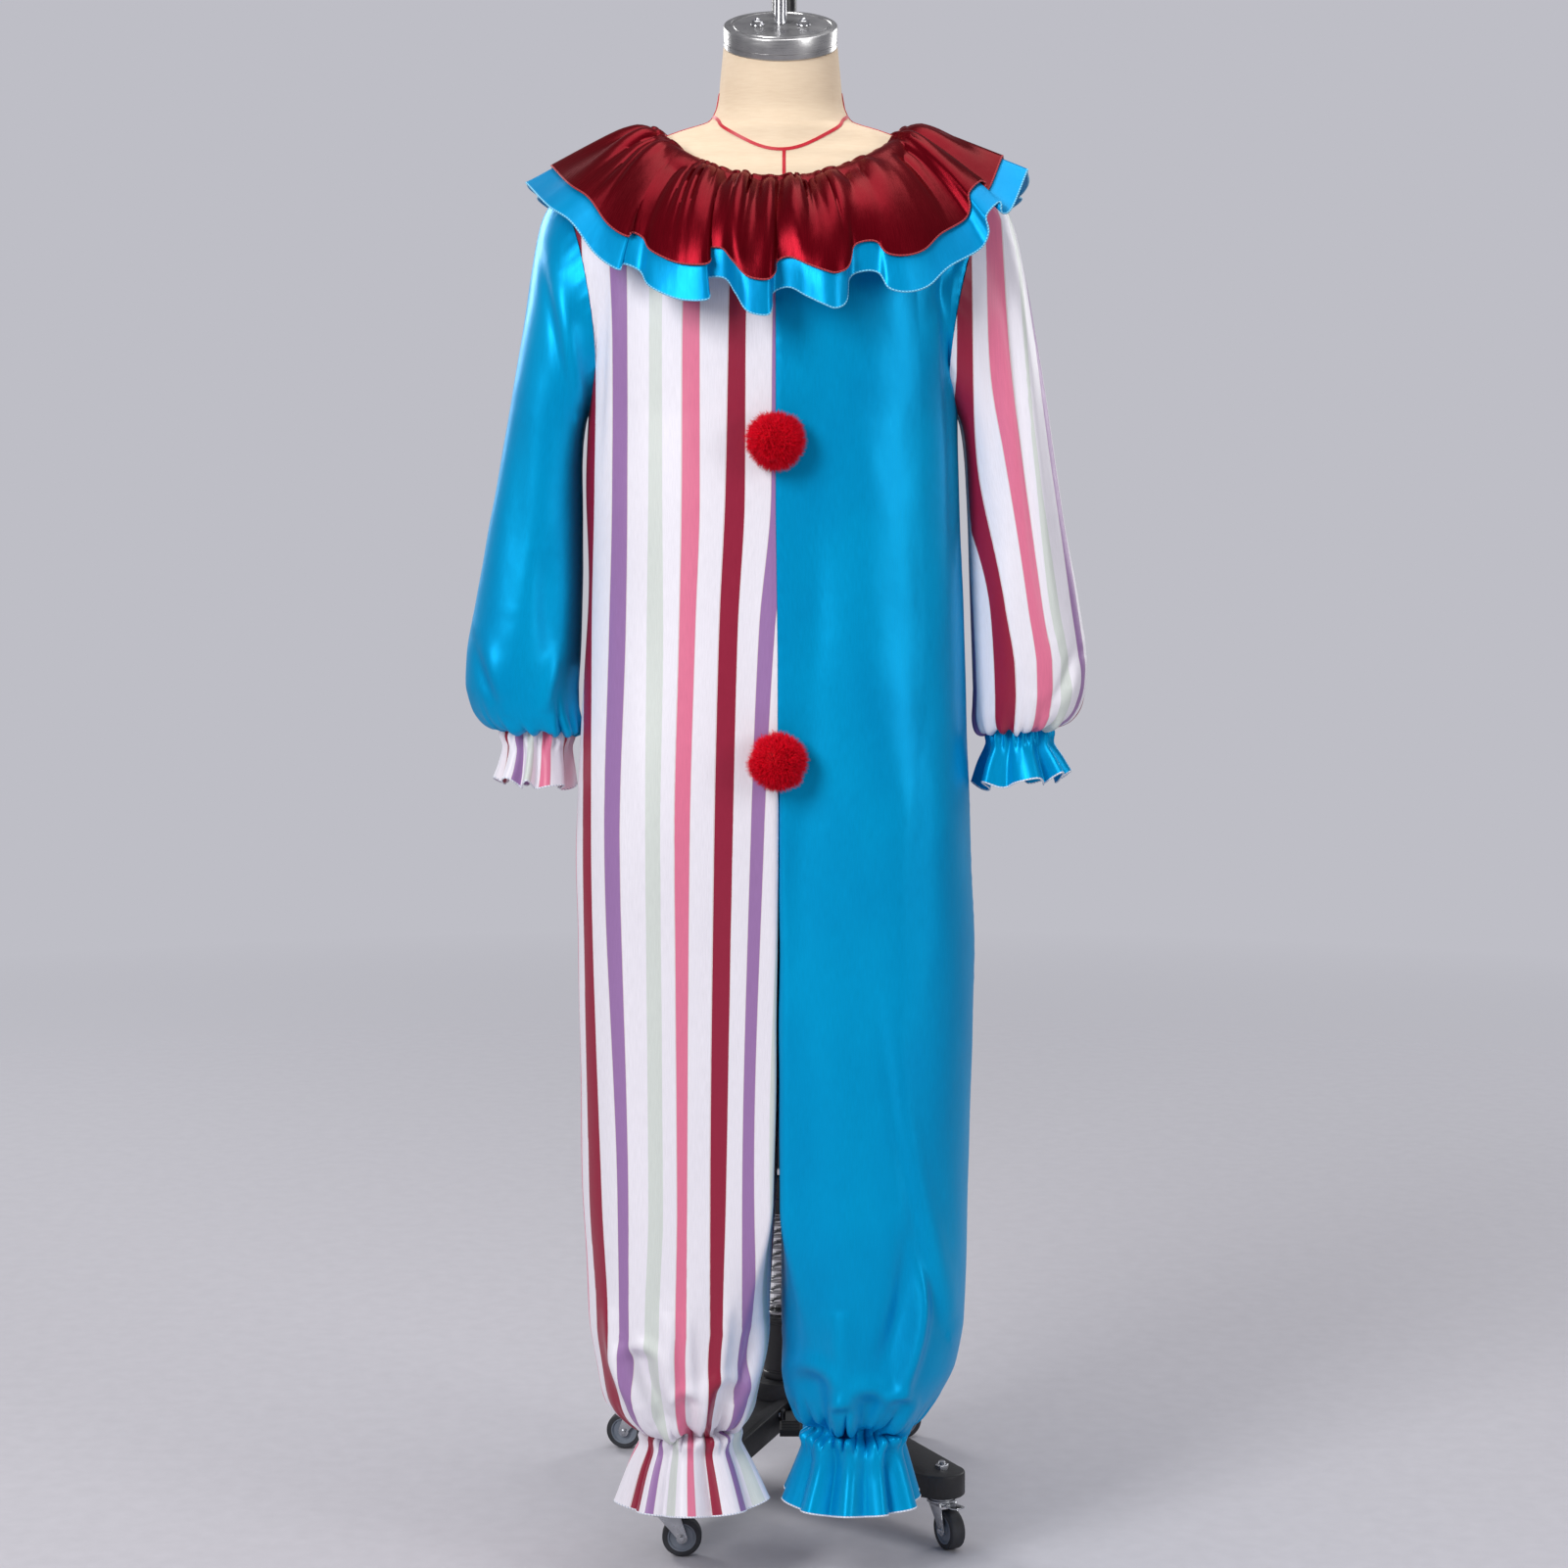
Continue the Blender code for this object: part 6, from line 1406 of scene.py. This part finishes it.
clamp = profile(
    "0 .0003, .015 .0003, .017 .0023, .017 .012, .016 .0128, .016 .0142, .017 .015, .017 .0292,"
    ".015 .0315, 0 .0315", ROD_TOP
)
place("rod_clamp_turned", [turned(clamp, 40)], "black_steel", "carriage", world_shift)
screw = moved(hex_bolt(0.0032, 0.0030)[1], (0, -0.0163, ROD_TOP + 0.0215), rotation(math.pi / 2, "X"))
place("rod_clamp_screw", [screw], "chrome", "carriage", world_shift, node="")

half_way, arch = (POST_Y - FORM_Y) / 2, np.linspace(0, 1, 13)
bend = np.stack([
    POST_X * (1 - arch),
    POST_Y - half_way + half_way * np.cos(math.pi * arch),
    MAST_TOP + ARCH_LOW + ARCH_HIGH * np.sin(math.pi * arch),
], 1)
from_mast = [(POST_X, POST_Y, MAST_TOP + SEAM), (POST_X, POST_Y, MAST_TOP + 0.02)]
to_clamp = [(0, FORM_Y, ROD_TOP + 0.032)]
neck_line = curve_through(np.concatenate([from_mast, bend, to_clamp]), 160)
neck_mesh = cord_mesh(neck_line, TUBE_R, False, 28)
neck_mesh.set_sharp_from_angle(angle=math.radians(40))
add("gooseneck_tube", neck_mesh, LOOKS["black_steel"], "gooseneck", at=(0, 0, 0))

POST_PIECES = [  # name, slot, body, sides, whether it is a tube, radii and heights
    ("mast_tube_round", "black_steel", "carriage", 40, True,
     ".0125 .3913, .0136 .3913, .014 .3917, .014 1.7796, .0136 1.78, .0125 1.78"),
    ("mast_washer_round", "chrome", "carriage", 40, True,
     ".0125 .3823, .0158 .3823, .017 .3835, .017 .3898, .0158 .391, .0125 .391"),
    ("mast_collar_turned", "black_steel", "carriage", 40, True,
     ".0125 .338, .0225 .338, .024 .3395, .024 .356, .0232 .3566, .0232 .3584, .024 .359, .024 .38,"
     ".0225 .382, .0125 .382"),
    ("guide_tube_round", "chrome", "base", 32, False, ".0116 .1423, .012 .143, .012 .899, .0114 .9"),
    ("post_socket_turned", "black_steel", "base", 40, True,
     ".0125 .1423, .025 .1423, .025 .15, .0241 .1508, .0241 .153, .025 .1538, .025 .2075, .0243 .2082,"
     ".0243 .21, .025 .2108, .025 .2136, .0236 .215, .0125 .215"),
]
for name_, slot_, body_, sides_, tube_, text_ in POST_PIECES:
    place(name_, [turned(profile(text_), sides_, tube_)], slot_, body_)
WIRE_R, COIL_R, COILS, FLAT_COILS = 0.0022, 0.0193, 10, 0.8
spring_low, spring_high = SOCKET_TOP + SEAM + WIRE_R, SPRING_TOP - SEAM - WIRE_R
coil_turns = np.linspace(0, COILS, COILS * 26 + 1)
coil_rise = np.interp(coil_turns, [0, FLAT_COILS, COILS - FLAT_COILS, COILS], [0, 0.025, 0.975, 1])
coil_line = [COIL_R * np.cos(TAU * coil_turns), COIL_R * np.sin(TAU * coil_turns)]
coil_line = np.stack([*coil_line, spring_low + (spring_high - spring_low) * coil_rise], 1)
coil = cord_mesh(coil_line, WIRE_R, False, 12)
add("landing_spring_coil", coil, LOOKS["spring_steel"], "landing_spring", "base", POST_AT)


def arm_part():
    """One arm of the base, along X: wide and high at the hub, round at its end."""
    near, far = (0.0, ARM_HUB_HALF), (ARM_TAPER, ARM_END_HALF + 0.0004)
    turns = np.linspace(-math.pi / 2, math.pi / 2, 19)
    outline = [(near[0], -near[1]), (far[0], -far[1])]
    outline += [(ARM_LONG + ARM_END_HALF * math.cos(a), ARM_END_HALF * math.sin(a)) for a in turns]
    outline += [far, near]

    def height(hub, end):
        return lambda x: hub + (end - hub) * min(x / ARM_TAPER, 1.0)

    return slab(outline, height(ARM_HUB_BOTTOM, ARM_END_BOTTOM), height(ARM_HUB_TOP, ARM_END_TOP))


hub_outline = profile("0 .1, .043 .1, .046 .103, .046 .129, .045 .132, .039 .1408, .036 .142, 0 .142")
casting, fastenings = [turned(hub_outline, 56)], []
for degrees in ARM_TURNS.values():
    turn_ = rotation(math.radians(degrees), "Z")
    casting.append(moved(arm_part(), turn=turn_))
    for part_ in hex_bolt(0.0078, 0.0068, 0.0042):
        fastenings.append(moved(moved(part_, (ARM_LONG, 0, ARM_END_TOP)), turn=turn_))
for side_ in (-1, 1):  # the ears that hold the pedal
    ear = np.array([HINGE_X + side_ * 0.0093, HINGE_Y + 0.003, HINGE_Z])
    casting.append(box(ear - EAR_HALF, ear + EAR_HALF))
    pin = turned(profile("0 0, .003 0, .003 .0008, .0018 .0015, 0 .0015"), 24)
    pin_at = (ear[0] + side_ * EAR_HALF[0], HINGE_Y, HINGE_Z)
    fastenings.append(moved(pin, pin_at, rotation(side_ * math.pi / 2, "Y")))
place("base_casting", casting, "cast_iron", bevel=0.0024, segments=3)
place("base_fastenings", fastenings, "zinc", node="")

plate = numbers(
    "-.006 -.036, -.0125 -.036, -.0125 -.071, .0125 -.071, .0125 -.036, .006 -.036, .006 .003, -.006 .003"
)
ribs = [box((-0.0105, y, 0.0035), (0.0105, y + 0.0022, 0.0050)) for y in np.linspace(-0.0685, -0.0405, 6)]
pedal_at = POST_AT + [HINGE_X, HINGE_Y, HINGE_Z]
place("pedal_lever", [slab(plate, -0.004, 0.004), *ribs], "rubber", "pedal", pedal_at, bevel=0.0007)


def fork_parts(braked):
    """A pressed channel over the wheel, with round lugs at the axle, its bolts, the swivel's race
    above and, on one caster, the wheel's brake tab."""
    gap, top = WHEEL_HALF + WHEEL_GAP, ARM_END_BOTTOM - 0.0063
    outside, half, lug_r = gap + FORK_LEG, 0.014, 0.0062
    lug = np.linspace(0.35, -math.pi - 0.15, 17)
    outline = [(-half, top), (half, top)]
    outline += [(TRAIL + lug_r * math.cos(a), WHEEL_R + lug_r * math.sin(a)) for a in lug]
    parts = [moved(slab(outline, -y - FORK_LEG, -y), turn=UPRIGHT) for y in (-outside, gap)]
    parts.append(box((-half, -outside, 0.0468), (half, outside, top)))
    if braked:
        tab = numbers(".012 -.0085, .036 -.0085, .041 -.005, .041 .005, .036 .0085, .012 .0085")
        under, over = (lambda x, low=low: low + 0.10 * (x - 0.012) for low in (0.0482, 0.0498))
        parts.append(slab(tab, under, over))
    race = profile("0 0, .0165 0, .0165 .0022, .015 .003, .015 .0042, .016 .0048, .016 .007, 0 .007",
                   ARM_END_BOTTOM - 0.0073)
    parts.append(turned(race, 40))
    for way in (-1, 1):
        for part in hex_bolt(0.0036, 0.0030):
            parts.append(moved(part, (TRAIL, way * outside, WHEEL_R), rotation(-way * math.pi / 2, "X")))
    return parts


UPRIGHT = rotation(math.pi / 2, "X")
tyre_edge = numbers(".016 .0085, .0198 .0085, .0211 .008, .0218 .0068, .022 .005")
hub_edge = numbers(
    "0 .0079, .0046 .0079, .005 .0074, .0056 .0062, .0066 .0058, .013 .0058, .014 .0066, .0146 .0079,"
    ".016 .0081"
)
tyre, hub = (
    moved(turned([(r, -z) for r, z in edge] + edge[::-1], 56, edge is tyre_edge), turn=UPRIGHT)
    for edge in (tyre_edge, hub_edge)
)
for corner, degrees in ARM_TURNS.items():
    turn_, facing = math.radians(degrees), math.radians(CASTER_TURNS[corner])
    pivot = POST_AT + ARM_LONG * np.array([math.cos(turn_), math.sin(turn_), 0.0])
    axle = pivot + np.array([TRAIL * math.cos(facing), TRAIL * math.sin(facing), WHEEL_R])
    wheel, rolls, turn_ = "wheel_" + corner, "roll_" + corner, (0, 0, facing)
    fork = fork_parts(corner == "front_right")
    place("fork_" + corner + "_pressed", fork, "zinc", "swivel_" + corner, pivot, turn_, bevel=0.0004)
    place(wheel + "_tyre", [tyre], "tyre", rolls, axle, turn_)
    place(wheel + "_hub", [hub], "tyre", rolls, axle, turn_, "", hub_plastic)

# ---- floor, light and camera -------------------------------------------------------------------
floor_mesh = bpy.data.meshes.new("floor")
floor_mesh.from_pydata([(-9, -9, 0), (9, -9, 0), (9, 9, 0), (-9, 9, 0)], [], [[0, 1, 2, 3]])
floor = bpy.data.objects.new("floor", floor_mesh)
scene.collection.objects.link(floor)
floor.location = (0, 0, -0.0006)
ground = Nodes("pale floor", Roughness=0.75, Specular_IOR_Level=0.2)
ground_at = ground.node("TexCoord", "Object")
ground_stops = [(0.3, srgb(196, 194, 200)), (0.7, srgb(201, 199, 205))]
ground.shade(Base_Color=ground.ramp(ground.noise(ground_at, 40.0, 5.0), ground_stops))
away_from = ground.node("VectorMath", "Value", operation="LENGTH", Vector=ground_at)
faded = ground.node("MixShader", Fac=ground.span(away_from, 1.1, 4.2, 0.0, 1.0))
ground.fill(faded.node, {1: ground.shader.outputs[0], 2: ground.node("BsdfTransparent")})
ground.fill(ground.out, {"Surface": faded})
floor_mesh.materials.append(ground.material)

WALL_GLOW, ROOM_GLOW = 1.0, 0.48  # the room's fill light is dimmer than its wall
world = bpy.data.worlds.new("studio")
scene.world = world
world.use_nodes = True
nodes, links = world.node_tree.nodes, world.node_tree.links
backdrop = nodes["Background"]
backdrop.inputs["Color"].default_value = (*srgb(190, 190, 198), 1.0)
glow = nodes.new("ShaderNodeMapRange")
glow.inputs["To Min"].default_value = ROOM_GLOW
glow.inputs["To Max"].default_value = WALL_GLOW
links.new(nodes.new("ShaderNodeLightPath").outputs["Is Camera Ray"], glow.inputs["Value"])
links.new(glow.outputs[0], backdrop.inputs["Strength"])

SOFTBOXES = [  # name, place, what it looks at, size and watts
    ("key", (-2.0, -3.2, 2.8), (0, -0.2, 1.0), (1.2, 1.9), 108),
    ("fill", (2.9, -2.6, 1.9), (0, -0.2, 0.9), (1.1, 2.0), 36),
    ("top", (0.2, -0.4, 3.7), (0, -0.2, 1.0), (2.0, 1.4), 32),
    ("rear left", (-2.4, 2.9, 2.5), (0, 0, 1.0), (1.1, 1.8), 52),
    ("rear right", (2.6, 2.7, 2.1), (0, 0, 1.0), (1.1, 1.8), 30),
]
for name_, at_, look_at, size_, watts in SOFTBOXES:
    lamp = bpy.data.lights.new(name_, "AREA")
    lamp.shape, lamp.energy = "RECTANGLE", watts
    lamp.size, lamp.size_y = size_
    softbox = bpy.data.objects.new(name_, lamp)
    scene.collection.objects.link(softbox)
    softbox.location = at_
    softbox.rotation_euler = (Vector(look_at) - Vector(at_)).to_track_quat("-Z", "Y").to_euler()

CAMERA_AWAY, CAMERA_Z, CAMERA_DOWN = 3.8, 1.343, 5.58  # from the form; looks down by degrees
lens = bpy.data.cameras.new("camera")
camera = bpy.data.objects.new("camera", lens)
scene.collection.objects.link(camera)
scene.camera = camera
lens.sensor_width, lens.lens = 36.0, 82.5
lens.shift_x, lens.shift_y = 0.0022, -0.058
camera.location = (0, -CAMERA_AWAY + FORM_Y, CAMERA_Z)
camera.rotation_euler = (math.radians(90 - CAMERA_DOWN), 0, 0)
scene.view_settings.view_transform = "Standard"
